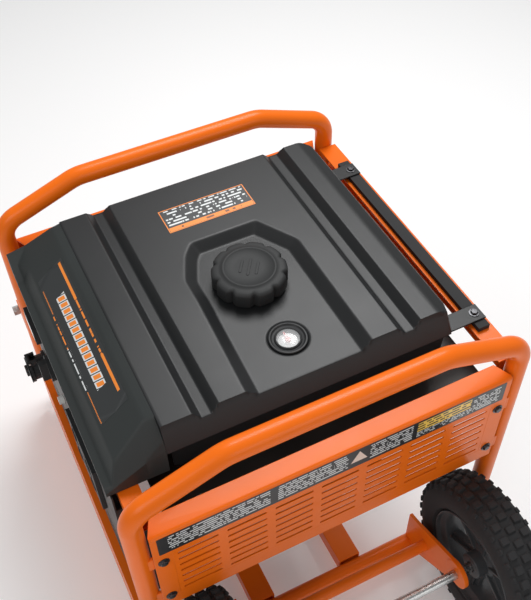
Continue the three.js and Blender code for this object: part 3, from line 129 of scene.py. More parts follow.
class Value:
    """A socket of a material; arithmetic on it adds Math nodes to that material."""

    def __init__(self, paint, socket):
        self.paint = paint
        self.socket = socket

    def _math(self, operation, *terms):
        """The Math node of an operation on its terms."""
        inputs = dict(enumerate(terms))
        return self.paint.node("ShaderNodeMath", {"operation": operation}, inputs)

    def __add__(self, other):
        return self._math("ADD", self, other)

    def __sub__(self, other):
        return self._math("SUBTRACT", self, other)

    def __rsub__(self, other):
        return self._math("SUBTRACT", other, self)

    def __mul__(self, other):
        return self._math("MULTIPLY", self, other)

    def __truediv__(self, other):
        return self._math("DIVIDE", self, other)

    def __gt__(self, other):
        return self._math("GREATER_THAN", self, other)

    def __lt__(self, other):
        return self._math("LESS_THAN", self, other)

    def __abs__(self):
        return self._math("ABSOLUTE", self)

    def fraction(self):
        """The value less the whole number below it."""
        return self._math("FRACT", self)

    def floor(self):
        """The whole number below the value."""
        return self._math("FLOOR", self)

    def between(self, low, high):
        """1 where the value lies between two bounds, else 0."""
        return (self > low) * (self < high)

    __radd__ = __add__
    __rmul__ = __mul__


class Paint:
    """A material being mixed: its node tree and its principled shader."""

    def __init__(self, name, color, roughness, **constants):
        self.material = bpy.data.materials.new(name)
        self.material.use_nodes = True
        self.tree = self.material.node_tree
        self.shader = self.tree.nodes["Principled BSDF"]
        self.color = color
        self.shader.inputs["Base Color"].default_value = (*color, 1.0)
        self.shader.inputs["Roughness"].default_value = roughness
        for socket, value in constants.items():
            self.shader.inputs[socket.replace("_", " ")].default_value = value

    def node(self, kind, settings=None, inputs=None, output=0):
        """Adds a node: settings first, then the value or link of each socket."""
        made = self.tree.nodes.new(kind)
        for name, value in (settings or {}).items():
            if name == "stops":
                ramp = made.color_ramp.elements
                while len(ramp) < len(value):
                    ramp.new(0.5)
                for element, (position, shade) in zip(ramp, value):
                    element.position = position
                    element.color = (*shade, 1.0)
            else:
                setattr(made, name, value)
        for socket, value in (inputs or {}).items():
            if isinstance(value, Value):
                self.tree.links.new(value.socket, made.inputs[socket])
            else:
                made.inputs[socket].default_value = value
        return Value(self, made.outputs[output])

    def place(self):
        """Object coordinates, in metres."""
        return self.node("ShaderNodeTexCoord", output="Object")

    def layout(self):
        """The three coordinates of the generator's layout, in millimetres."""
        made = self.tree.nodes.new("ShaderNodeSeparateXYZ")
        self.tree.links.new(self.place().socket, made.inputs[0])
        return [
            (Value(self, made.outputs[i]) - float(CENTRE[i])) * (1 / MM) for i in range(3)
        ]

    def noise(self, scale, detail=3.0, roughness=0.5, stretch=None):
        """Smooth noise in space, at a scale in cycles a metre, drawn out along an axis."""
        vector = self.place()
        if stretch:
            vector = self.node("ShaderNodeMapping", None, {"Vector": vector, "Scale": stretch})
        inputs = {"Vector": vector, "Scale": scale, "Detail": detail, "Roughness": roughness}
        return self.node("ShaderNodeTexNoise", None, inputs, "Fac")

    def cells(self, scale, output="Distance"):
        """Cell noise in space."""
        inputs = {"Vector": self.place(), "Scale": scale}
        return self.node("ShaderNodeTexVoronoi", None, inputs, output)

    def mix(self, mask, first, second):
        """First colour where the mask is 0, second where it is 1."""
        shades = {}
        for socket, shade in ((6, first), (7, second)):
            shades[socket] = shade if isinstance(shade, Value) else (*shade, 1.0)
        return self.node("ShaderNodeMix", {"data_type": "RGBA"}, {0: mask, **shades}, 2)

    def tone(self, mask, dark, light):
        """Base colour from its own colour times dark, where the mask is 0, to times light."""
        shades = [tuple(min(c * factor, 1.0) for c in self.color) for factor in (dark, light)]
        self.set("Base Color", self.mix(mask, *shades))

    def set(self, socket, value):
        """Feeds a value to a socket of the principled shader."""
        self.tree.links.new(value.socket, self.shader.inputs[socket])

    def relief(self, height, distance, strength=1.0, edges=0.0):
        """Bumps of a height, over edges that are rounded to a radius in the shading."""
        inputs = {"Height": height, "Strength": strength, "Distance": distance}
        if edges:
            inputs["Normal"] = self.node("ShaderNodeBevel", {"samples": 6}, {"Radius": edges})
        self.set("Normal", self.node("ShaderNodeBump", None, inputs))


# --------------------------------------------------------------------- materials


def powder_coat():
    """Glossy orange powder coat: faint orange peel, and a thin haze of dust in patches."""
    gloss = {"Coat_Weight": 0.06, "Specular_IOR_Level": 0.2}
    paint = Paint("powder_coat", (0.88, 0.158, 0.006), 0.34, **gloss)
    paint.tone(paint.noise(9.0, 4.0), 0.9, 1.06)
    paint.set("Roughness", paint.noise(38.0, 5.0) * 0.16 + 0.24)
    paint.relief(paint.noise(620.0, 2.0), 0.00012, 0.5, edges=0.0012)
    return paint.material


def moulded(name, color, roughness, grain, depth=0.0001, spread=0.14):
    """Moulded plastic: a fine eroded grain, with a slow change of sheen across the piece."""
    paint = Paint(name, color, roughness, Specular_IOR_Level=0.36)
    speck = paint.cells(grain)
    cloud = paint.noise(7.0, 3.0)
    tone = speck * 0.5 + cloud * 0.5
    paint.tone(tone, 0.78, 1.28)
    paint.set("Roughness", cloud * spread + speck * 0.1 + (roughness - spread / 2))
    paint.relief(speck, depth, 0.6, edges=0.0008)
    return paint.material


def rubbery(name, color, roughness=0.82):
    """Rubber: matt, mottled, with a fine uneven skin."""
    paint = Paint(name, color, roughness)
    patch = paint.noise(24.0, 6.0)
    paint.tone(patch, 0.65, 1.7)
    paint.set("Roughness", patch * 0.2 + (roughness - 0.1))
    paint.relief(paint.noise(700.0, 4.0), 0.00015, 0.5, edges=0.0006)
    return paint.material


def cast():
    """Sand-cast aluminium: dull, pitted, a little oxidised in patches."""
    paint = Paint("cast_aluminium", (0.42, 0.43, 0.44), 0.5, Metallic=0.85)
    patch = paint.noise(30.0, 6.0, 0.6)
    paint.tone(patch, 0.7, 1.25)
    paint.set("Roughness", patch * 0.3 + 0.36)
    paint.relief(paint.noise(420.0, 5.0, 0.7), 0.0003, 0.7, edges=0.001)
    return paint.material


def plated(name="zinc_steel", color=(0.56, 0.56, 0.55)):
    """Zinc-plated steel: faint spangle and fine drawn lines."""
    paint = Paint(name, color, 0.3, Metallic=1.0)
    spangle = paint.cells(260.0, "Color")
    spangle = paint.node("ShaderNodeRGBToBW", None, {0: spangle})
    paint.tone(spangle, 0.82, 1.12)
    paint.set("Roughness", spangle * 0.14 + paint.noise(60.0, 5.0) * 0.16 + 0.16)
    paint.relief(paint.noise(240.0, 3.0, 0.5, (1, 12, 12)), 0.00005, 0.5, edges=0.0006)
    return paint.material


def heat_black():
    """Black heat-proof paint on sheet steel, browned where it runs hottest."""
    paint = Paint("heat_black", (0.022, 0.022, 0.023), 0.5, Metallic=0.3)
    warm = paint.noise(16.0, 5.0)
    browned = paint.mix(warm, (0.0176, 0.0176, 0.0184), (0.045, 0.038, 0.032))
    paint.set("Base Color", browned)
    paint.set("Roughness", warm * 0.24 + 0.36)
    paint.relief(paint.noise(500.0, 3.0), 0.00012, 0.5, edges=0.0008)
    return paint.material


def windings():
    """Lacquered copper windings in packed turns between steel laminations. Each turn is painted
    lighter on its crest and darker in the groove between turns: painted highlight and painted
    shade.
    """
    paint = Paint("copper_windings", (0.42, 0.14, 0.05), 0.35, Metallic=0.8)
    _, y, _ = paint.layout()
    turn_ridges_and_shade = abs((y * 0.8).fraction() - 0.5) * 2
    # painted shade in the grooves between turns and painted highlight on their crests, from the
    # same mask as the bumps
    paint.tone(turn_ridges_and_shade, 0.25, 1.3)
    paint.set("Roughness", paint.noise(80.0) * 0.3 + 0.25)
    paint.relief(turn_ridges_and_shade, 0.0006, 0.8)
    return paint.material


def enamel(name, color):
    """Glossy moulded colour, faintly clouded, with soft handling marks."""
    paint = Paint(name, color, 0.28, Coat_Weight=0.3, Coat_Roughness=0.1)
    cloud = paint.noise(60.0, 4.0)
    paint.tone(cloud, 0.85, 1.1)
    paint.set("Roughness", paint.noise(220.0, 5.0) * 0.2 + 0.2)
    paint.relief(paint.noise(900.0), 0.00005, 0.4, edges=0.0006)
    return paint.material


# Each finish: its material, and the slot that it stands for.
FINISHES = {
    "paint": (powder_coat(), "frame_paint"),
    "tank": (
        moulded("tank_plastic", (0.012, 0.0128, 0.0135), 0.34, 1100.0, 0.00008),
        "tank_finish",
    ),
    "cover": (
        moulded("cover_plastic", (0.023, 0.027, 0.0265), 0.5, 1100.0, 0.00008),
        "black_plastic",
    ),
    "cap": (
        moulded("cap_plastic", (0.021, 0.022, 0.0225), 0.55, 900.0, 0.00014),
        "black_plastic",
    ),
    "black": (
        moulded("black_plastic", (0.018, 0.019, 0.02), 0.42, 1300.0, 0.00006),
        "black_plastic",
    ),
    "rim": (moulded("rim_enamel", (0.05, 0.052, 0.055), 0.38, 700.0, 0.00006), "tank_finish"),
    "rubber": (rubbery("black_rubber", (0.02, 0.02, 0.021)), "rubber"),
    "tyre": (rubbery("tyre_rubber", (0.017, 0.017, 0.018), 0.86), "tyre_rubber"),
    "cast": (cast(), "cast_aluminium"),
    "steel": (plated(), "steel"),
    "dark_steel": (plated("blacked_steel", (0.09, 0.09, 0.095)), "steel"),
    "heat": (heat_black(), "black_steel"),
    "copper": (windings(), "winding_core"),
    "red": (enamel("red_gloss", (0.5, 0.03, 0.02)), "red_plastic"),
    "white": (enamel("white_gloss", (0.75, 0.75, 0.72)), "white_plastic"),
}
NODE_FINISH = {
    "paint": "near_panel far_panel rear_rail front_rail base_rail_front base_rail_rear",
    "rubber": "foot_left foot_right tank_pad_front tank_pad_rear fuel_hose "
    "engine_mount_1 engine_mount_2 engine_mount_3 engine_mount_4",
    "steel": "filler_neck socket_lid_pin axle handle_bolt_left handle_bolt_right crankshaft "
    "alternator_rotor",
    "black": "fuel_tap_lever twist_socket socket_lid outlet_block display_meter dipstick "
    "fan_shroud recoil_cover recoil_pulley recoil_grip air_filter_box engine_switch",
    "cast": "fuel_tap crankcase cylinder_head flywheel alternator_housing "
    "alternator_end_cover carburettor",
    "heat": "control_panel muffler choke_lever muffler_guard",
    "copper": "alternator_stator",
    "red": "gauge_needle",
    "white": "breaker_button",
}
for finish, names in NODE_FINISH.items():
    for name in names.split():
        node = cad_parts[name]
        node.data.materials.clear()
        node.data.materials.append(FINISHES[finish][0])


# ------------------------------------------------------------------ mesh building


def grid_faces(rows, columns, wrap_rows=False, wrap_columns=False):
    """Quads between neighbouring points of a grid; a wrapped side joins last to first."""
    r = np.arange(rows if wrap_rows else rows - 1)[:, None]
    c = np.arange(columns if wrap_columns else columns - 1)[None, :]
    r1 = (r + 1) % rows
    c1 = (c + 1) % columns
    corners = [r * columns + c, r * columns + c1, r1 * columns + c1, r1 * columns + c]
    return np.stack(np.broadcast_arrays(*corners), -1).reshape(-1, 4)


def patch(grid, wrap_rows=False, wrap_columns=False, caps=False):
    """A grid of points as (points, faces); caps close its first and last row with one face."""
    grid = np.asarray(grid, float)
    rows, columns = grid.shape[:2]
    faces = grid_faces(rows, columns, wrap_rows, wrap_columns).tolist()
    if caps:
        last = (rows - 1) * columns
        faces.append(list(range(columns)))
        faces.append(list(range(last, last + columns)))
    return grid.reshape(-1, 3), faces


def together(*shapes):
    """Several (points, faces) as one."""
    points = []
    faces = []
    start = 0
    for shape_points, shape_faces in shapes:
        points.append(shape_points)
        faces += [[i + start for i in face] for face in shape_faces]
        start += len(shape_points)
    return np.concatenate(points), faces


def moved(shape, offset):
    """A shape with an offset added to its points."""
    return shape[0] + np.asarray(offset, float), shape[1]


def turned(shape, axis, angle, centre=(0, 0, 0)):
    """A shape turned about an axis through a centre, by an angle in radians."""
    matrix = np.array(Matrix.Rotation(angle, 3, axis.upper()))
    return (shape[0] - centre) @ matrix.T + centre, shape[1]


def edge_of(grid):
    """The points round the edge of a grid, in order."""
    return np.concatenate([grid[:, 0], grid[-1, 1:], grid[-2::-1, -1], grid[0, -2:0:-1]])


def piece(name, shape, body, finish, replaces=(), bevel=0.0, sharp=32.0):
    """Makes a shape an object that rides on a body, if one is given, with its seams closed and its
    faces outward. The finish is a name in the table, or a material of the piece's own."""
    mesh = bpy.data.meshes.new(name)
    mesh.from_pydata(metres(shape[0]).tolist(), [], shape[1])
    work = bmesh.new()
    work.from_mesh(mesh)
    bmesh.ops.remove_doubles(work, verts=work.verts, dist=1e-6)
    bmesh.ops.recalc_face_normals(work, faces=work.faces)
    work.to_mesh(mesh)
    work.free()
    mesh.polygons.foreach_set("use_smooth", np.ones(len(mesh.polygons), bool))
    mesh.set_sharp_from_angle(angle=np.radians(sharp))
    made = bpy.data.objects.new(name, mesh)
    bpy.context.scene.collection.objects.link(made)
    listed = finish in FINISHES
    mesh.materials.append(FINISHES[finish][0] if listed else finish)
    if bevel:
        rounding = made.modifiers.new("rounding", "BEVEL")
        rounding.width = bevel * MM
        rounding.segments = 2
        rounding.limit_method = "ANGLE"
        rounding.angle_limit = np.radians(35)
    if body:
        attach(made, body)
    if replaces:
        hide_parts(*replaces)
    return made


def ring_points(radius, count, start=0.0):
    """Points of a circle, two numbers each."""
    angle = start + np.arange(count) * 2 * np.pi / count
    return np.stack([np.cos(angle), np.sin(angle)], -1) * radius


def bent(corners, radii, step=8.0):
    """A polyline whose inner corners are arcs of given radii, a point about every step degrees."""
    corners = np.asarray(corners, float)
    radii = np.broadcast_to(radii, len(corners) - 2)
    parts = [corners[:1]]
    for before, corner, after, radius in zip(corners, corners[1:], corners[2:], radii):
        back = (before - corner) / np.linalg.norm(before - corner)
        on = (after - corner) / np.linalg.norm(after - corner)
        half = np.arccos(np.clip(back @ on, -1, 1)) / 2
        middle = (back + on) / np.linalg.norm(back + on)
        centre = corner + middle * radius / np.sin(half)
        first = corner + back * radius / np.tan(half) - centre
        last = corner + on * radius / np.tan(half) - centre
        sweep = np.pi - 2 * half
        t = np.linspace(0, 1, int(np.degrees(sweep) / step) + 3)[:, None]
        arms = (np.sin((1 - t) * sweep) * first + np.sin(t * sweep) * last) / np.sin(sweep)
        parts.append(centre + arms)
    parts.append(corners[-1:])
    return np.concatenate(parts)


def swept(path, radius, up=(0, 1, 0), sides=28, closed=False):
    """A round bar along a path: each ring lies across the path and is turned to face up."""
    path = np.asarray(path, float)
    if closed:
        along = np.roll(path, -1, 0) - np.roll(path, 1, 0)
    else:
        along = np.gradient(path, axis=0)
    along /= np.linalg.norm(along, axis=1, keepdims=True)
    side = np.asarray(up, float) - (along @ np.asarray(up, float))[:, None] * along
    side /= np.linalg.norm(side, axis=1, keepdims=True)
    other = np.cross(along, side)
    circle = ring_points(1.0, sides)
    radius = np.broadcast_to(radius, len(path))[:, None, None]
    round_path = circle[None, :, :1] * side[:, None] + circle[None, :, 1:] * other[:, None]
    return patch(path[:, None] + radius * round_path, closed, True, caps=not closed)


def lathed(profile, centre, axis="z", count=64, wobble=None, closed=False):
    """A (radius, height) profile turned about an axis through a centre. wobble adds to the
    radius; a closed profile is a ring's section, whose last point joins its first."""
    profile = np.asarray(profile, float)
    circle = ring_points(1.0, count)
    radii = np.repeat(profile[:, :1], count, 1)
    if wobble is not None:
        radii = radii + wobble
    a, b, c = AXES[axis]
    grid = np.zeros((len(profile), count, 3))
    grid[..., a] = radii * circle[:, 0]
    grid[..., b] = radii * circle[:, 1]
    grid[..., c] = profile[:, 1:]
    return patch(grid + np.asarray(centre, float), closed, True)


def prism(outline, axis, low, high):
    """An outline carried along an axis: (y, z) along x, (x, z) along y and (x, y) along z."""
    outline = np.asarray(outline, float)
    a, b, c = AXES[axis]
    grid = np.zeros((2, len(outline), 3))
    grid[..., a] = outline[:, 0]
    grid[..., b] = outline[:, 1]
    grid[0, :, c] = low
    grid[1, :, c] = high
    return patch(grid, wrap_columns=True, caps=True)


def block(low, high):
    """A box between two corners; its edges are rounded by the piece's bevel."""
    (x0, y0, z0), (x1, y1, z1) = low, high
    return prism([(x0, y0), (x1, y0), (x1, y1), (x0, y1)], "z", z0, z1)


def rounded_rectangle(width, height, radius, centre=(0, 0), steps=6):
    """Outline of a rectangle with arcs at its corners."""
    half = np.array([width / 2 - radius, height / 2 - radius])
    signs = np.array([(1, 1), (-1, 1), (-1, -1), (1, -1)])
    turn = np.pi / 2 * (np.arange(4)[:, None] + np.linspace(0, 1, steps)[None])
    arc = radius * np.stack([np.cos(turn), np.sin(turn)], -1)
    return (signs[:, None] * half + arc).reshape(-1, 2) + np.asarray(centre, float)


def bolt(place, direction, radius=6.0, height=4.5, washer=8.5):
    """A hexagon flange bolt: a washer face, six flats and a shallow domed top."""
    sign = 1 if direction[0] == "+" else -1
    axis = direction[1]
    a, b, c = AXES[axis]
    levels = [(washer, 0), (washer, 1.2), (radius, 1.4), (radius, height - 0.8)]
    levels += [(radius * 0.86, height), (0, height + 0.15)]
    grid = np.zeros((len(levels) + 1, 24, 3))
    circle = ring_points(1.0, 24)
    angle = np.arctan2(circle[:, 1], circle[:, 0])
    flats = np.cos(np.pi / 6) / np.cos((angle + np.pi / 6) % (np.pi / 3) - np.pi / 6)
    for row, (r, h) in enumerate([(0, 0), *levels]):
        shape = flats[:, None] if 2 <= row - 1 <= 4 else 1.0
        grid[row][:, [a, b]] = circle * r * shape
        grid[row][:, c] = h * sign
    return patch(grid + np.asarray(place, float), wrap_columns=True)


# ----------------------------------------------------------------- height fields


def soft_min(a, b, radius):
    """The lower of two heights, with the corner between them rounded."""
    h = np.clip(0.5 + 0.5 * (b - a) / radius, 0, 1)
    return b * (1 - h) + a * h - radius * h * (1 - h)


def soft_max(a, b, radius):
    """The higher of two heights, rounded in the same way."""
    return -soft_min(-a, -b, radius)


def slope(inside, width, radius):
    """0 outside an outline, rising to 1 over a width inside it, with rounded foot and brow."""
    return soft_max(soft_min(inside / width, 1.0, radius / width), 0.0, radius / width)


def beyond(x, y, first, last):
    """Distance to the right of the line from first to last, seen from above."""
    (x0, y0), (x1, y1) = first, last
    length = np.hypot(x1 - x0, y1 - y0)
    return ((x - x0) * (y1 - y0) - (y - y0) * (x1 - x0)) / length


def tank_plan(x):
    """Near and far edge of the tank at each x: one corner cut straight, one rounded."""
    start = TANK_REAR - CORNER
    bulge = np.clip((x - start) / CORNER, 0, 1)
    far = TANK_HALF - CORNER * (1 - np.sqrt(1 - bulge**2))
    near = -TANK_HALF + CORNER * np.clip((x - TANK_REAR + 12) / 12, 0, 1)
    return near, far


def recess_depth(x, y):
    """Share of the relief's depth round the filler: sloped walls inside an open hexagon."""
    left = x - (CAP[0] - CAP_RADIUS - 32 - 7 * np.clip((-40 - y) / 176, 0, 1))
    right = CAP[0] + CAP_RADIUS + 43 - x
    inside = soft_min(left, right, 3)
    inside = soft_min(inside, beyond(x, y, (-92, 9), (-72, 56)), 3)
    inside = soft_min(inside, beyond(x, y, (-72, 56), (-55, 76)), 3)
    inside = soft_min(inside, CAP[1] + 104.5 - y, 3)
    inside = soft_min(inside, beyond(x, y, (56, 77), (97, 8)), 3)
    return slope(inside, 18, 1.6)


def tank_height(x, y):
    """Height of the tank's top skin: a plane, less the two channels, the recess, the far
    notch and the gauge's well, all cut off by the sloping sides."""
    top = np.full(np.broadcast(x, y).shape, TANK_TOP)
    for side in (-1, 1):
        top = top - RELIEF * slope(CHANNEL_HALF - abs(x - side * CHANNEL_X), 11.5, 1.4)
    top = top - RELIEF * recess_depth(x, y)
    far_edge = y - (TANK_TOP_HALF - 25)
    notch = soft_min(far_edge, beyond(x, y, (-117, 211), (-94, 189)), 2)
    notch = soft_min(notch, beyond(x, y, (86, 194), (107, 216)), 2)
    top = top - NOTCH_DEPTH * slope(notch, 5, 1.0)
    well = 19.5 - np.hypot(x - GAUGE[0], y - GAUGE[1])
    top = top - 11 * slope(well, 1.6, 0.5)
    dish = 31 - np.hypot(x - GAUGE[0], y - GAUGE[1])
    top = top - 3.2 * slope(dish, 3.0, 1.2)
    corner = TANK_REAR - CORNER, TANK_HALF - CORNER
    from_corner = np.hypot(np.maximum(x - corner[0], 0), np.maximum(y - corner[1], 0))
    inside = np.minimum(CORNER - from_corner, y + TANK_HALF)
    inside = np.minimum(inside, -beyond(x, y, (TANK_REAR - 12, -TANK_HALF), (TANK_REAR, -188)))
    walls = TANK_SKIRT + 4 * np.maximum(inside, 0)
    brow = TANK_TOP - 0.4 * (x - TANK_REAR_TOP)
    rear = TANK_TOP - 8 - 2.286 * (x - TANK_REAR_TOP - 20)
    top = soft_min(top, walls, 3.0)
    top = soft_min(top, soft_min(brow, rear, 3.0), 2.4)
    return soft_min(top, TANK_TOP - 0.6 + 1.4 * (x - TANK_FRONT), 0.8)


def shell(xs, ys_of, height, skirt):
    """A height field over a plan, closed below by rings that step inward and down.
    Each skirt ring is (inset, z); ys_of gives the plan's near and far edge at each x."""
    near, far = ys_of(xs)
    share = np.linspace(0, 1, 250)
    x = np.repeat(xs[:, None], len(share), 1)
    y = near[:, None] + (far - near)[:, None] * share
    top = np.stack([x, y, height(x, y)], -1)
    edge = edge_of(top)
    centre = (edge.max(0) + edge.min(0)) / 2
    half = (edge.max(0) - edge.min(0)) / 2
    rings = [edge]
    for inset, z in skirt:
        ring = edge.copy()
        ring[:, :2] = centre[:2] + (edge[:, :2] - centre[:2]) * (1 - inset / half[:2])
        ring[:, 2] = z
        rings.append(ring)
    wall = patch(np.stack(rings), wrap_columns=True)
    floor = list(range(len(edge) * (len(rings) - 1), len(edge) * len(rings)))
    return together(patch(top), (wall[0], wall[1] + [floor]))


def build_tank():
    """The tank's skin, its height field sampled closely over the channels and its skirt stepped
    in towards the floor, and the four lugs that hold it, each with a bolt."""
    fine = [np.linspace(side * CHANNEL_X - 22, side * CHANNEL_X + 22, 40) for side in (-1, 1)]
    xs = np.unique(np.concatenate([np.linspace(TANK_FRONT, TANK_REAR, 210), *fine]))
    skirt = [(0, TANK_SKIRT), (7, TANK_SKIRT - 6), (9, 480), (22, 452), (34, 445)]
    skin = shell(xs, tank_plan, tank_height, skirt)
    lugs = []
    for x0, x1 in ((-294, TANK_FRONT + 4), (TANK_REAR - 14, 312)):
        for side in (-1, 1):
            y = side * (TANK_HALF - 38)
            lugs.append(block((x0, y - 15, LUG_Z), (x1, y + 15, LUG_Z + LUG_SHEET)))
            outer = x0 + 12 if x0 < 0 else x1 - 12
            head = bolt((outer, y, LUG_Z + LUG_SHEET), "+z")
            piece(f"tank_bolt_{len(lugs)}", head, "frame", "dark_steel")
    piece("tank_skin", skin, "frame", "tank", ["fuel_tank"], sharp=40)
    piece("tank_lugs", together(*lugs), "frame", "tank", bevel=0.6)


def cover_height(x, y):
    """Height of the front cover: three falling planes and a flat lip, cut off by a hip and a
    leaning face at each end; its middle is a shallow sunk field with cut corners."""
    first = TANK_TOP - (TANK_FRONT - x) / 3
    second = TANK_TOP - 5 - 0.808 * (TANK_FRONT - 15 - x)
    ear = 25 * np.clip((y - 190) / 40, 0, 1)
    third = TANK_TOP - 48 - 1.95 * (TANK_FRONT - 68 - x) + ear
    lip = 503 - 0.29 * (TANK_FRONT - 81 - x) + ear
    top = soft_min(soft_min(first, second, 2.0), third, 2.0)
    top = soft_max(top, lip, 1.6)
    field = soft_min(-239 - x, x + 288, 2.0)
    for end in (-1, 1):
        reach = 150 - abs(x + 262) * 0.55
        field = soft_min(field, (reach - end * y) * 0.87, 2.0)
    top = top - 1.5 * slope(field, 2.5, 0.8)
    for end, edge in ((-1, COVER_LOW[1]), (1, COVER_HIGH[1])):
        hip = 551 - (-0.37 * (x - TANK_FRONT + 31) + end * 0.64 * (y - edge + end * 25)) / 0.67
        face = TANK_SKIRT - end * 4 * (y - edge)
        if end > 0:
            hip = TANK_SKIRT + 1.56 * (edge - y) + 0.12 * (x - TANK_FRONT + 45)
        top = soft_min(top, soft_min(hip, face, 2.5), 2.5)
    return np.maximum(top, COVER_LOW[2] + 2)


def build_cover():
    """The front cover: its height field over a rectangle, closed by walls straight down."""
    xs = np.linspace(COVER_LOW[0], COVER_HIGH[0], 110)
    edges = lambda x: (np.full(len(x), COVER_LOW[1]), np.full(len(x), COVER_HIGH[1]))
    shape = shell(xs, edges, cover_height, [(0, COVER_LOW[2])])
    piece("cover_skin", shape, "frame", "cover", ["front_cover"], sharp=40)


def decal(name, height, x_range, y_range, material):
    """A thin label that follows a height field, closed round its edge."""
    x = np.linspace(*x_range, 60)[:, None] + np.zeros((60, 120))
    y = np.linspace(*y_range, 120)[None] + np.zeros((60, 120))
    z = height(x, y)
    top = np.stack([x, y, z + 0.25], -1)
    under = np.stack([x, y, z - 0.2], -1)
    wall = patch(np.stack([edge_of(top), edge_of(under)]), wrap_columns=True)
    piece(name, together(patch(top), patch(under), wall), "frame", material)


def graphic(name, ground, roughness=0.35):
    """A printed label's material, with its layout coordinates."""
    paint = Paint(name, ground, roughness)
    return paint, *paint.layout()


def words(paint, along, across, pitch, seed, fill=0.72):
    """Rows of short dashes of uneven length that stand for lines of small print: within each
    pitch, a dash shows over a share that a noise sets for each row."""
    row = (across / pitch).floor()
    place = {0: along * (0.9 / pitch), 1: row * 3.7 + seed}
    place = paint.node("ShaderNodeCombineXYZ", None, place)
    inputs = {"Vector": place, "Scale": 1.0, "Detail": 1.0}
    dash = paint.node("ShaderNodeTexNoise", None, inputs, "Fac")
    line = (across / pitch).fraction().between(0.22, 0.72)
    return line * (dash > 1.02 - fill * 0.75)


def build_labels():
    """The printed labels of the tank and the cover. Each print is a sum of masks, and a mask is 1
    between two bounds of the layout's coordinates."""
    orange = (0.9, 0.26, 0.03)
    pale = (0.72, 0.74, 0.74)
    tank_ground = (0.03, 0.032, 0.034)
    cover_ground = (0.026, 0.029, 0.03)

    paint, x, y, _ = graphic("tank_label_print", tank_ground)
    x0, x1, y0, y1 = -74.0, 74.0, 110.0, 163.0
    edge_x = abs(x) - x1
    edge_y = abs(y - (y0 + y1) / 2) - (y1 - y0) / 2
    border = ((edge_x > -1.4) + (edge_y > -1.4)) > 0.5
    bar = y.between(y0 + 2.0, y0 + 10.5) * (abs(x) < x1 - 2)
    print_area = y.between(y0 + 13, y1 - 3) * (abs(x) < x1 - 5)
    lines = words(paint, x, y - y0, 6.6, 3.1) * print_area
    title = words(paint, x, y - y0 - 2.2, 8.2, 9.4, 0.62) * bar * (abs(x) < 52)
    color = paint.mix(lines, tank_ground, pale)
    color = paint.mix(((bar + border) > 0.5) * (1 - title * 0.8), color, orange)
    paint.set("Base Color", color)
    decal("tank_label", tank_height, (x0, x1), (y0, y1), paint.material)

    paint, x, y, _ = graphic("cover_label_print", cover_ground, 0.4)
    stripe = x.between(-249, -245.2) * y.between(-125, 143) * (1 - y.between(-55, 60))
    mark = words(paint, y, x + 249.6, 5.0, 5.5, 0.82)
    mark = mark * x.between(-250, -244.6) * y.between(-55, 60)
    slant = ((y + x * 0.5) / 13.6).fraction()
    row = y.between(-98, 92)
    outline = slant.between(0.06, 0.92) * x.between(-271.5, -257.5) * row
    big = slant.between(0.2, 0.78) * x.between(-269.5, -259.5) * row
    dots = (y / 2.6).fraction().between(0.15, 0.75) * x.between(-284.6, -283.2)
    dots = dots * y.between(-146, 126) * (1 - y.between(-86, 74))
    small = words(paint, y, x + 287, 4.4, 7.7, 0.74)
    small = small * x.between(-286, -281.6) * y.between(-82, 70)
    color = paint.mix((stripe + mark) > 0.5, cover_ground, orange)
    color = paint.mix(outline, color, pale)
    color = paint.mix(big, color, orange)
    color = paint.mix(dots, color, orange)
    color = paint.mix(small * (y > 0), color, orange)
    color = paint.mix(small * (y < 0), color, pale)
    paint.set("Base Color", color)
    decal("cover_label", cover_height, (-285.5, -241.5), (-148, 148), paint.material)


# ---------------------------------------------------------------------- the frame


def hoop_path(y):
    """Centre-line of a closed hoop: two legs, a base run, two shoulders and a crown."""
    corners = [(LEG_X, y, 300), (LEG_X, y, BASE_Z), (-LEG_X, y, BASE_Z), (-LEG_X, y, SHOULDER_Z)]
    corners += [(-TOP_RUN / 2, y, HOOP_TOP), (TOP_RUN / 2, y, HOOP_TOP)]
    corners += [(LEG_X, y, SHOULDER_Z), (LEG_X, y, 300.5)]
    return bent(corners, [55, 55, 42, 70, 70, 42], 4.0)


def carriers():
    """Two plates that carry the axle outboard of the near hoop, with their spacer tube."""
    _, wheel_y, wheel_z = middle_of("axle")
    boss = ring_points(26, 40) + (wheel_y, wheel_z)
    arm = [(-HOOP_Y - 4, BASE_Z - 8), (-HOOP_Y + 10, BASE_Z + 4), (-HOOP_Y + 10, BASE_Z + 90)]
    arm += [(-HOOP_Y - 10, BASE_Z + 96), (wheel_y + 8, wheel_z + 25), (wheel_y - 8, wheel_z - 24)]
    shapes = []
    for side in (-1, 1):
        x0, x1 = sorted((side * 168, side * 174))
        shapes.append(prism(arm, "x", x0, x1))
        shapes.append(prism(boss, "x", x0 - 1, x1 + 1))
    middle = ((wheel_y - HOOP_Y) / 2 + 20, (wheel_z + BASE_Z) / 2 + 10)
    tube = swept([(-170, *middle), (0, *middle), (170, *middle)], 10)
    return together(*shapes, tube)


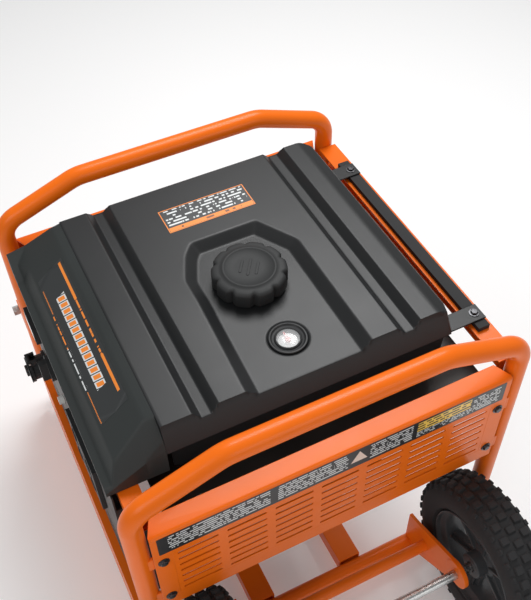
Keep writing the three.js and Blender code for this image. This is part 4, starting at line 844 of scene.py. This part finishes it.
def build_frame():
    """The hoops as round bars along their paths, the tabs and bolts of the side panels at
    mirrored places, and the axle carriers and handle ears cut from plate."""
    for name, y in (("near_hoop", -HOOP_Y), ("far_hoop", HOOP_Y)):
        tube = swept(hoop_path(y), TUBE, closed=True, sides=40)
        piece(f"{name}_tube", tube, "frame", "paint", [name], sharp=80)
    tabs = []
    for side in (-1, 1):
        for end in (-1, 1):
            for drop in BOLT_DROPS:
                z = PANEL_TOP - drop
                face = PANEL_FACE - SHEET - 0.3
                xs = sorted((side * (PANEL_HALF - 26), side * (LEG_X - 6)))
                ys = sorted((end * face, end * (face - 5)))
                tabs.append(block((xs[0], ys[0], z - 14), (xs[1], ys[1], z + 14)))
                place = (side * (PANEL_HALF - 13), end * PANEL_FACE, z)
                name = f"panel_bolt_{'near' if end < 0 else 'far'}_{len(tabs)}"
                direction = "-y" if end < 0 else "+y"
                piece(name, bolt(place, direction), "frame", "dark_steel")
    piece("panel_tabs", together(*tabs), "frame", "paint", bevel=0.8)
    piece("axle_carriers", carriers(), "frame", "paint", bevel=0.8)
    _, pivot_y, pivot_z = middle_of("handle_bolt_left")
    ear = [(HOOP_Y + 4, pivot_z - 24), (HOOP_Y + 14, pivot_z - 24), (pivot_y + 14, pivot_z - 10)]
    ear += [(pivot_y + 14, pivot_z + 12), (HOOP_Y + 14, pivot_z + 26), (HOOP_Y + 4, pivot_z + 26)]
    ears = []
    for side in (-1, 1):
        for x0, x1 in ((-16, -12.9), (12.9, 16)):
            ears.append(prism(ear, "x", side * LEG_X + x0, side * LEG_X + x1))
    piece("handle_ears", together(*ears), "frame", "paint", bevel=0.6)


def slotted_panel(out):
    """A side panel pressed from sheet: rows of round-ended slots, a rim, a deep top flange and
    a shallow bottom one. Each slot sits in a cell, and the faces between a cell's outline and
    its slot run point to point."""
    columns, rows = 7, 7
    pitch_x, pitch_z = 74.0, 17.8
    half_slot = np.array([30.5, 2.5])
    turn = np.concatenate([np.linspace(-90, 90, 9), np.linspace(90, 270, 9)])
    circle = np.stack([np.cos(np.radians(turn)), np.sin(np.radians(turn))], -1) * half_slot[1]
    shift = np.where(np.arange(18) < 9, 1, -1) * (half_slot[0] - half_slot[1])
    slot = circle + np.stack([shift, np.zeros(18)], -1)
    w, h = pitch_x / 2, pitch_z / 2
    side = np.linspace(-h, h, 9)
    cell = np.concatenate(
        [np.stack([np.full(9, w), side], -1), np.stack([np.full(9, -w), side[::-1]], -1)]
    )
    middle_z = PANEL_TOP - 66 - np.arange(rows) * pitch_z
    middle_x = (np.arange(columns) - (columns - 1) / 2) * pitch_x
    shapes = []
    for z in middle_z:
        for x in middle_x:
            rings = [(cell, 0.0), (slot, 0.0), (slot, SHEET), (cell, SHEET)]
            grid = [
                np.stack([ring[:, 0] + x, np.full(18, depth), ring[:, 1] + z], -1)
                for ring, depth in rings
            ]
            shapes.append(patch(np.stack(grid), wrap_columns=True))
    left, right = middle_x[0] - w, middle_x[-1] + w
    low, high = middle_z[-1] - h, middle_z[0] + h
    edge = PANEL_HALF
    bottom, top = PANEL_BOTTOM + FLANGE_BEND, PANEL_TOP - FLANGE_BEND
    for x0, x1, z0, z1 in (
        (-edge, left, low, high),
        (right, edge, low, high),
        (-edge, edge, bottom, low),
        (-edge, edge, high, top),
    ):
        shapes.append(block((x0, 0, z0), (x1, SHEET, z1)))
    for start, end, depth in ((top, PANEL_TOP, 32), (bottom, PANEL_BOTTOM, 22)):
        bend = np.linspace(0, np.pi / 2, 8)
        sign = np.sign(end - start)
        across, up = np.cos(bend), sign * np.sin(bend)
        outer, inner = (
            np.stack([FLANGE_BEND - r * across, start + r * up], -1)
            for r in (FLANGE_BEND, FLANGE_BEND - SHEET)
        )
        lip = [(depth, end), (depth, end - sign * SHEET)]
        profile = np.concatenate([outer, lip, inner[::-1]])
        taper = np.clip((profile[:, 0] - depth + 12) / 12, 0, 1) * 12
        grid = np.zeros((2, len(profile), 3))
        grid[0, :, 0] = -edge + taper
        grid[1, :, 0] = edge - taper
        grid[..., 1:] = profile
        shapes.append(patch(grid, wrap_columns=True, caps=True))
    points, faces = together(*shapes)
    points = points - (0, PANEL_FACE, 0)
    if out > 0:
        points = points * (-1, -1, 1)
    return points, faces


def panel_strip(out):
    """The printed strip along a side panel, above its slots: masks along it and up it."""
    yellow = (0.86, 0.55, 0.1)
    ground = (0.02, 0.02, 0.021)
    pale = (0.7, 0.71, 0.7)
    name = "near" if out < 0 else "far"
    paint, x, _, z = graphic(f"{name}_strip_print", ground, 0.3)
    along = x * (-out)
    z0, z1 = STRIP_Z, STRIP_Z + STRIP_HEIGHT
    lines = words(paint, along, z - z0, 5.2, 1.0 + out, 0.78)
    blocks = along.between(-262, -112) + along.between(-100, 10) + along.between(46, 116)
    lines = lines * (blocks > 0.5) * z.between(z0 + 4, z1 - 4)
    color = paint.mix(lines, ground, pale)
    band = along.between(124, 216) * z.between(z0 + 17, z1 - 4)
    dark = words(paint, along, z - z0 - 1, 6.4, 4.0, 0.8)
    color = paint.mix(band, color, yellow)
    color = paint.mix(band * dark, color, ground)
    low = words(paint, along, z - z0, 4.4, 6.0, 0.74) * along.between(124, 268)
    low = low * ((z.between(z0 + 3, z0 + 16) + along.between(220, 268)) > 0.5)
    color = paint.mix(low * z.between(z0 + 3, z1 - 4), color, pale)
    sign = abs(along - 28) + (z - z0 - 12) * 0.55
    sign = (sign < 14) * (z > z0 + 13)
    color = paint.mix(sign, color, (0.8, 0.6, 0.5))
    paint.set("Base Color", color)
    y = out * PANEL_FACE
    ys = sorted((y, y + out * 0.3))
    outline = rounded_rectangle(554, z1 - z0, 2.0, (0, (z0 + z1) / 2))
    shape = prism(outline, "y", ys[0], ys[1])
    piece(f"{name}_strip", shape, "frame", paint.material)


def build_panels():
    """The side panels, and the far one is the near one turned half round."""
    for name, out in (("near_panel", -1), ("far_panel", 1)):
        piece(f"{name}_sheet", slotted_panel(out), "frame", "paint", [name], sharp=50)
        panel_strip(out)


# ----------------------------------------------------------------- cap and gauge


def build_cap():
    """The cap: a scalloped skirt whose dips fade out on the crown, a raised ring on top, and a
    worn-down relief of three bars in the middle."""
    base, top = CAP_LOW[2] + 4, CAP_HIGH[2] - 1
    r = CAP_RADIUS
    profile = [(46, base), (r - 1.5, base), (r, base + 1.5), (r, top - 9), (r - 0.6, top - 6.5)]
    profile += [(r - 2.4, top - 4.2), (r - 5.5, top - 3), (r - 10, top - 2.3), (r - 15, top - 1.9)]
    profile += [(r - 16.2, top - 0.6), (r - 18, top), (r - 20, top - 0.6), (r - 21.4, top - 1.9)]
    profile = np.array([*profile, (20, top - 2.1), (0.0, top - 2.1)])
    count = 240
    angle = np.arange(count) * 2 * np.pi / count
    dip = 5.4 * np.clip(1 - 1.7 * abs(np.sin(angle * 5)), 0, 1)
    dip = dip[None] * np.clip((profile[:, 0] - CAP_RADIUS + 14) / 14, 0, 1)[:, None]
    place = (CAP[0], CAP[1], 0)
    crown = lathed(profile, place, "z", count, -dip)
    hollow = lathed([(46, base), (46, top - 8), (0, top - 8)], place, "z", count)
    low = limits("filler_neck")[0][2] + 13
    plug = lathed([(0, low), (30, low), (30, top - 8), (0, top - 8)], place, "z", 64)
    piece("cap_body", together(crown, hollow, plug), "fuel_cap", "cap", ["fuel_cap"], sharp=45)
    bars = []
    for length, x in ((26, -12), (34, 0), (26, 12)):
        outline = rounded_rectangle(4.2, length, 2.0, (x, 0))
        bars.append(prism(outline, "z", top - 2.6, top - 1.4))
    relief = moved(turned(together(*bars), "z", -0.6), place)
    piece("cap_relief", relief, "fuel_cap", "cap", bevel=0.4)


def build_gauge():
    """The gauge: a dished bezel round a dial with graduations, under a domed window."""
    floor = GAUGE_LOW[2]
    rim = TANK_TOP - RELIEF
    centre = (GAUGE[0], GAUGE[1], 0)
    profile = [(0, floor), (19, floor), (19, rim - 4), (27, rim - 2.6), (28.5, rim - 0.4)]
    profile += [(27.6, rim + 1.2), (25.5, rim + 1.4), (23.5, rim - 1.0), (20.5, rim - 1.8)]
    profile += [(19.5, rim + 0.2), (18.2, rim + 0.9), (17, rim + 0.2), (16.6, floor + 3)]
    profile += [(0, floor + 3)]
    piece("gauge_cup", lathed(profile, centre, "z", 96), "frame", "black", ["gauge_bezel"])
    face = (0.82, 0.83, 0.82)
    paint, x, y, _ = graphic("gauge_dial_print", face, 0.3)
    x = x - float(GAUGE[0])
    y = y - float(GAUGE[1])
    radius = paint.node("ShaderNodeMath", {"operation": "SQRT"}, {0: x * x + y * y})
    angle = paint.node("ShaderNodeMath", {"operation": "ARCTAN2"}, {0: x, 1: y})
    ticks = (angle * 4.2).fraction().between(0.4, 0.6) * radius.between(10.5, 13.5)
    ticks = ticks * (abs(angle) < 1.5)
    ring = radius.between(14.2, 15.6)
    paint.set("Base Color", paint.mix((ticks + ring) > 0.5, face, (0.02, 0.02, 0.02)))
    base = floor + 3
    disc = [(0, base), (16.4, base), (16.4, base + 0.25), (0, base + 0.25)]
    piece("gauge_dial", lathed(disc, centre, "z", 64), "frame", paint.material)
    lens = Paint("gauge_lens_clear", (0.8, 0.82, 0.83), 0.04, Alpha=0.22, Coat_Weight=1.0)
    smear = lens.noise(120.0, 4.0)
    lens.set("Roughness", smear * 0.08 + 0.02)
    dome = [(0, rim + 2.2), (8, rim + 1.9), (14, rim + 1.0), (17, rim - 0.2)]
    dome += [(17, rim - 1.0), (14, rim + 0.2), (8, rim + 1.1), (0, rim + 1.4)]
    piece("gauge_lens", lathed(dome, centre, "z", 64), "frame", lens.material)


# ------------------------------------------------------------- wheels and handle


def knob(length, width, low, high, place, lean=1.2):
    """A tread block: a flat-topped mound between two heights, standing on a rectangle."""
    grid = np.zeros((3, 8, 3))
    for row, (shrink, z) in enumerate(((0, low), (lean * 0.4, high - 1.0), (lean, high))):
        outline = rounded_rectangle(length - shrink * 2, width - shrink * 2, 1.0, place, 2)
        grid[row, :, :2] = outline
        grid[row, :, 2] = z
    return patch(grid, wrap_columns=True, caps=True)


def build_wheel(side):
    """A knobby tyre on a six-spoke rim, with a hub cap."""
    low, high = limits(f"tyre_{side}")
    rim_low, rim_high = limits(f"rim_{side}")
    centre = (low + high) / 2
    radius = (high[2] - low[2]) / 2
    half = (high[0] - low[0]) / 2
    rim = (rim_high[2] - rim_low[2]) / 2
    body = f"wheel_{side}"
    out = -1 if side == "left" else 1

    section = [(rim + 1, -half + 12), (rim + 6, -half + 3), (rim + 16, -half + 0.3)]
    section += [(radius - 24, -half), (radius - 13, -half + 2.5), (radius - 7, -half + 9)]
    section += [(radius - 5.4, -half + 20), (radius - 5, 0)]
    ring = np.array(section)
    mirrored = ring[-2::-1] * (1, -1)
    bead = [(rim - 3, half - 16), (rim - 3, -half + 16)]
    tyre = [lathed([*ring, *mirrored, *bead], centre, "x", 96, closed=True)]
    count = 40
    treads = (0.0, 0, 15, 12), (18.5, 0.5, 14, 13), (-18.5, 0.5, 14, 13)
    for i in range(count):
        angle = 2 * np.pi * i / count
        for across, shift, length, width in treads:
            mound = knob(length, width, radius - 7, radius - 0.3, (across, 0))
            turn = angle + shift * 2 * np.pi / count
            tyre.append(moved(turned(mound, "x", turn), centre))
        for edge in (-1, 1):
            lug = knob(8, 9, 0, 4.4, (0, 0), 0.8)
            lug = turned(lug, "y", edge * 1.05)
            lug = moved(lug, (edge * (half - 6.4), 0, radius - 9.5))
            tyre.append(moved(turned(lug, "x", angle), centre))
    piece(f"tyre_{side}_tread", together(*tyre), body, "tyre", [f"tyre_{side}"], sharp=40)

    barrel = [(rim, -half + 5), (rim - 2.5, -half + 4), (rim - 4, -half + 12)]
    barrel += [(rim - 12, -half + 18), (rim - 14, 0), (rim - 12, half - 18)]
    barrel += [(rim - 4, half - 12), (rim - 2.5, half - 4)]
    barrel += [(rim, half - 5), (rim + 0.6, half - 14), (rim - 8, half - 20), (rim - 10, 0)]
    barrel += [(rim - 8, -half + 20), (rim + 0.6, -half + 14)]
    hub = [(9.2, -30), (20, -30), (22, -28), (22, -10), (30, -6), (30, 6), (22, 10), (22, 28)]
    hub += [(20, 30), (9.2, 30)]
    shapes = [lathed(barrel, centre, "x", 96, closed=True)]
    shapes.append(lathed(hub, centre, "x", 48, closed=True))
    for i in range(6):
        spoke = prism([(-13, 24), (13, 24), (8, rim - 11), (-8, rim - 11)], "x", -5, 5)
        rib = prism([(-2.5, 21), (2.5, 21), (2.5, rim - 12), (-2.5, rim - 12)], "x", -11, 11)
        for part in (spoke, rib):
            shapes.append(moved(turned(part, "x", i * np.pi / 3), centre))
    piece(f"rim_{side}_cast", together(*shapes), body, "rim", [f"rim_{side}"], bevel=0.8)
    cap = [(0, 30.5), (15, 30.5), (15, 33), (12, 35), (0, 35.5)]
    cover = lathed(np.array(cap) * (1, out), centre, "x", 40)
    piece(f"hub_cap_{side}", cover, body, "black")


def build_handle():
    """The folding handle's bent tube, and the ribbed sleeve on its cross run."""
    low, high = limits("handle_tube")
    radius = (high[1] - low[1]) / 2
    y = (low[1] + high[1]) / 2
    z = low[2] + radius
    corners = [(-LEG_X, y, high[2]), (-LEG_X, y, z), (LEG_X, y, z), (LEG_X, y, high[2])]
    tube = swept(bent(corners, [60, 60], 4.0), radius, sides=32)
    piece("handle_bar", tube, "handle", "paint", ["handle_tube"], sharp=70)
    low, high = limits("handle_grip")
    outer = (high[2] - low[2]) / 2
    length = high[0] - low[0]
    profile = [(radius + 0.2, -length / 2), (outer - 0.6, -length / 2), (outer, -length / 2 + 2)]
    for i in range(16):
        x = -length / 2 + 12 + i * (length - 24) / 15
        groove = outer - 1.6
        profile += [(outer, x - 3.4), (groove, x - 2.4), (groove, x + 2.4), (outer, x + 3.4)]
    profile += [(outer, length / 2 - 2), (outer - 0.6, length / 2), (radius + 0.2, length / 2)]
    grip = lathed(profile, (low + high) / 2, "x", 48, closed=True)
    piece("handle_sleeve", grip, "handle", "rubber", ["handle_grip"], sharp=40)


def build_feet():
    """The rubber feet: a waisted profile turned about an upright axis."""
    for side in ("left", "right"):
        low, high = limits(f"foot_{side}")
        middle = (low + high) / 2
        r = (high[0] - low[0]) / 2
        top = high[2]
        profile = [(0, 0), (r - 1.5, 0), (r, 1.5), (r, 5), (r - 3, 7), (r - 3, 9), (r - 1, 11)]
        profile += [(r - 2.5, top - 1.5), (r - 4, top), (0, top)]
        shape = lathed(profile, (middle[0], middle[1], 0), "z", 48)
        piece(f"foot_{side}_pad", shape, "frame", "rubber", [f"foot_{side}"])


# ------------------------------------------------------------------ small fittings


def build_lid():
    """The socket's screw lid: a knurled dome with a raised bar to turn it by."""
    low, high = limits("socket_lid")
    radius = (high[1] - low[1]) / 2
    y = (low[1] + high[1]) / 2
    z = low[2] + 5 + radius
    back = low[0] + 1.5
    front = low[0] - 4
    profile = [(0, back), (radius - 3, back), (radius - 0.4, back - 1), (radius, back - 2.4)]
    profile += [(radius - 0.6, (front + back) / 2), (radius - 3.4, front + 3), (0, front + 1.6)]
    turn = np.arange(120) * 2 * np.pi / 120
    knurl = 0.7 * np.sign(np.sin(turn * 20)) * (np.array(profile)[:, :1] > radius - 2)
    dome = lathed(profile, (0, y, z), "x", 120, knurl)
    bar = prism(rounded_rectangle(7, radius * 1.2, 3, (y, z)), "x", front - 2, front + 3)
    piece("lid_dome", dome, "socket_lid", "black", sharp=50)
    piece("lid_bar", bar, "socket_lid", "black", bevel=1.2)


def build_controls():
    """The socket faces of the outlet block, with dark slots, and the screen of the meter."""
    face = limits("outlet_block")[0][0]
    middle = middle_of("outlet_block")
    for i, (dy, dz) in enumerate(((-31, -26), (31, -26), (-31, 26), (31, 26))):
        y, z = middle[1] + dy, middle[2] + dz
        ring = [(12.2, face + 3), (13.4, face + 0.5), (12.6, face - 1.2), (11.4, face - 1.2)]
        ring += [(10.6, face + 2.0), (0, face + 2.0), (0, face + 3)]
        shape = lathed(ring, (0, y, z), "x", 48)
        piece(f"outlet_ring_{i + 1}", shape, "frame", "black", bevel=0.2)
        pins = []
        for pin in (-1, 1):
            hole = [(0, face + 1.6), (2.4, face + 1.6), (2.4, face + 2.2), (0, face + 2.2)]
            pins.append(lathed(hole, (0, y + pin * 4.8, z), "x", 20))
        piece(f"outlet_pins_{i + 1}", together(*pins), "frame", "dark_steel")
    low, high = limits("display_meter")
    middle = (low + high) / 2
    glass = Paint("meter_glass", (0.02, 0.035, 0.03), 0.12, Coat_Weight=0.6)
    smear = glass.noise(150.0, 4.0)
    glass.set("Roughness", smear * 0.15 + 0.06)
    glass.set("Base Color", glass.mix(smear, (0.015, 0.028, 0.024), (0.03, 0.05, 0.042)))
    width, height = high[1] - low[1] - 12, high[2] - low[2] - 10
    outline = rounded_rectangle(width, height, 3, (middle[1], middle[2]))
    screen = prism(outline, "x", low[0] - 0.6, low[0] + 0.4)
    piece("meter_window", screen, "frame", glass.material, bevel=0.3)


def build_rope():
    """The starter's rope: a bar whose radius swells and shrinks along it like plaited strands. It
    runs from the grip into the recoil cover and rides on no body."""
    _, y, z = middle_of("recoil_grip")
    grip_end = limits("recoil_grip")[1][0]
    x = np.linspace(grip_end - 34, middle_of("recoil_cover")[0] - 22, 160)
    path = np.stack([x, np.full_like(x, y), np.full_like(x, z)], -1)
    strands = 3.1 + 0.25 * np.sin(x * 1.9)
    shape = swept(path, strands, sides=16)
    paint = Paint("rope_weave", (0.05, 0.05, 0.052), 0.9)
    along, across, _ = paint.layout()
    strand_ridges_and_shade = ((along * 0.5 + across * 0.6).fraction() - 0.5) * 2
    # the strands are painted light on their crests and dark in the grooves between them: painted
    # highlight and painted shade, from the same mask as the bumps
    paint.set("Base Color", paint.mix(abs(strand_ridges_and_shade), (0.02, 0.02, 0.022), (0.16, 0.15, 0.14)))
    paint.set("Roughness", paint.noise(300.0) * 0.2 + 0.75)
    paint.relief(abs(strand_ridges_and_shade), 0.0004, 0.7)
    rope = piece("starter_rope", shape, None, paint.material, sharp=180)
    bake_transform(rope)


# --------------------------------------------------------------- stage and camera


def build_stage():
    """A pale square floor, a white surround, and three soft square lights that face the object."""
    size = 9.0
    points = [(-size, -size, 0), (-size, size, 0), (size, -size, 0), (size, size, 0)]
    mesh = bpy.data.meshes.new("floor")
    mesh.from_pydata(points, [], [(0, 2, 3, 1)])
    floor = bpy.data.objects.new("floor", mesh)
    bpy.context.scene.collection.objects.link(floor)
    glow = {"Emission_Color": (1, 1, 1, 1), "Emission_Strength": 0.12}
    paint = Paint("pale_floor", (0.9, 0.9, 0.9), 0.7, **glow)
    paint.set("Roughness", paint.noise(4.0) * 0.1 + 0.65)
    mesh.materials.append(paint.material)

    world = bpy.data.worlds.new("studio")
    bpy.context.scene.world = world
    world.use_nodes = True
    surround = world.node_tree.nodes["Background"].inputs
    surround["Color"].default_value = (1, 1, 1, 1)
    surround["Strength"].default_value = 0.36

    for name, place, target, size, power in (
        ("softbox_over", (0.75, 0.95, 2.5), (0, -0.15, 0.55), 1.25, 46.0),
        ("softbox_left", (-2.4, -1.1, 2.6), (0, 0, 0.4), 1.6, 26.0),
        ("softbox_near", (0.7, -2.8, 1.6), (0, 0, 0.3), 1.4, 12.0),
    ):
        light = bpy.data.lights.new(name, "AREA")
        light.energy = power
        light.size = size
        lamp = bpy.data.objects.new(name, light)
        lamp.location = place
        aim = Vector(target) - Vector(place)
        lamp.rotation_euler = aim.to_track_quat("-Z", "Y").to_euler()
        bpy.context.scene.collection.objects.link(lamp)


def build_camera():
    """The camera: its back points along an azimuth and an elevation, then it is rolled."""
    azimuth, elevation, roll = np.radians([-25.04, 48.72, -1.67])
    level = np.array([np.sin(azimuth), -np.cos(azimuth), 0]) * np.cos(elevation)
    back = level + (0, 0, np.sin(elevation))
    right = np.cross(-back, (0, 0, 1))
    right /= np.linalg.norm(right)
    up = np.cross(back, right)
    across = np.cos(roll) * right + np.sin(roll) * up
    upward = np.cos(roll) * up - np.sin(roll) * right
    lens = bpy.data.cameras.new("camera")
    lens.lens = 53.03
    lens.sensor_width = 36.0
    camera = bpy.data.objects.new("camera", lens)
    turn = Matrix(np.stack([across, upward, back], -1).tolist()).to_4x4()
    camera.matrix_world = Matrix.Translation(metres((-361.4, -848.5, 1540.0))) @ turn
    bpy.context.scene.collection.objects.link(camera)
    bpy.context.scene.camera = camera


build_camera()
build_stage()
bpy.context.scene.view_settings.view_transform = "Standard"
build_tank()
build_cover()
build_labels()
build_frame()
build_panels()
build_cap()
build_gauge()
for wheel_side in ("left", "right"):
    build_wheel(wheel_side)
build_handle()
build_feet()
build_controls()
build_lid()
build_rope()
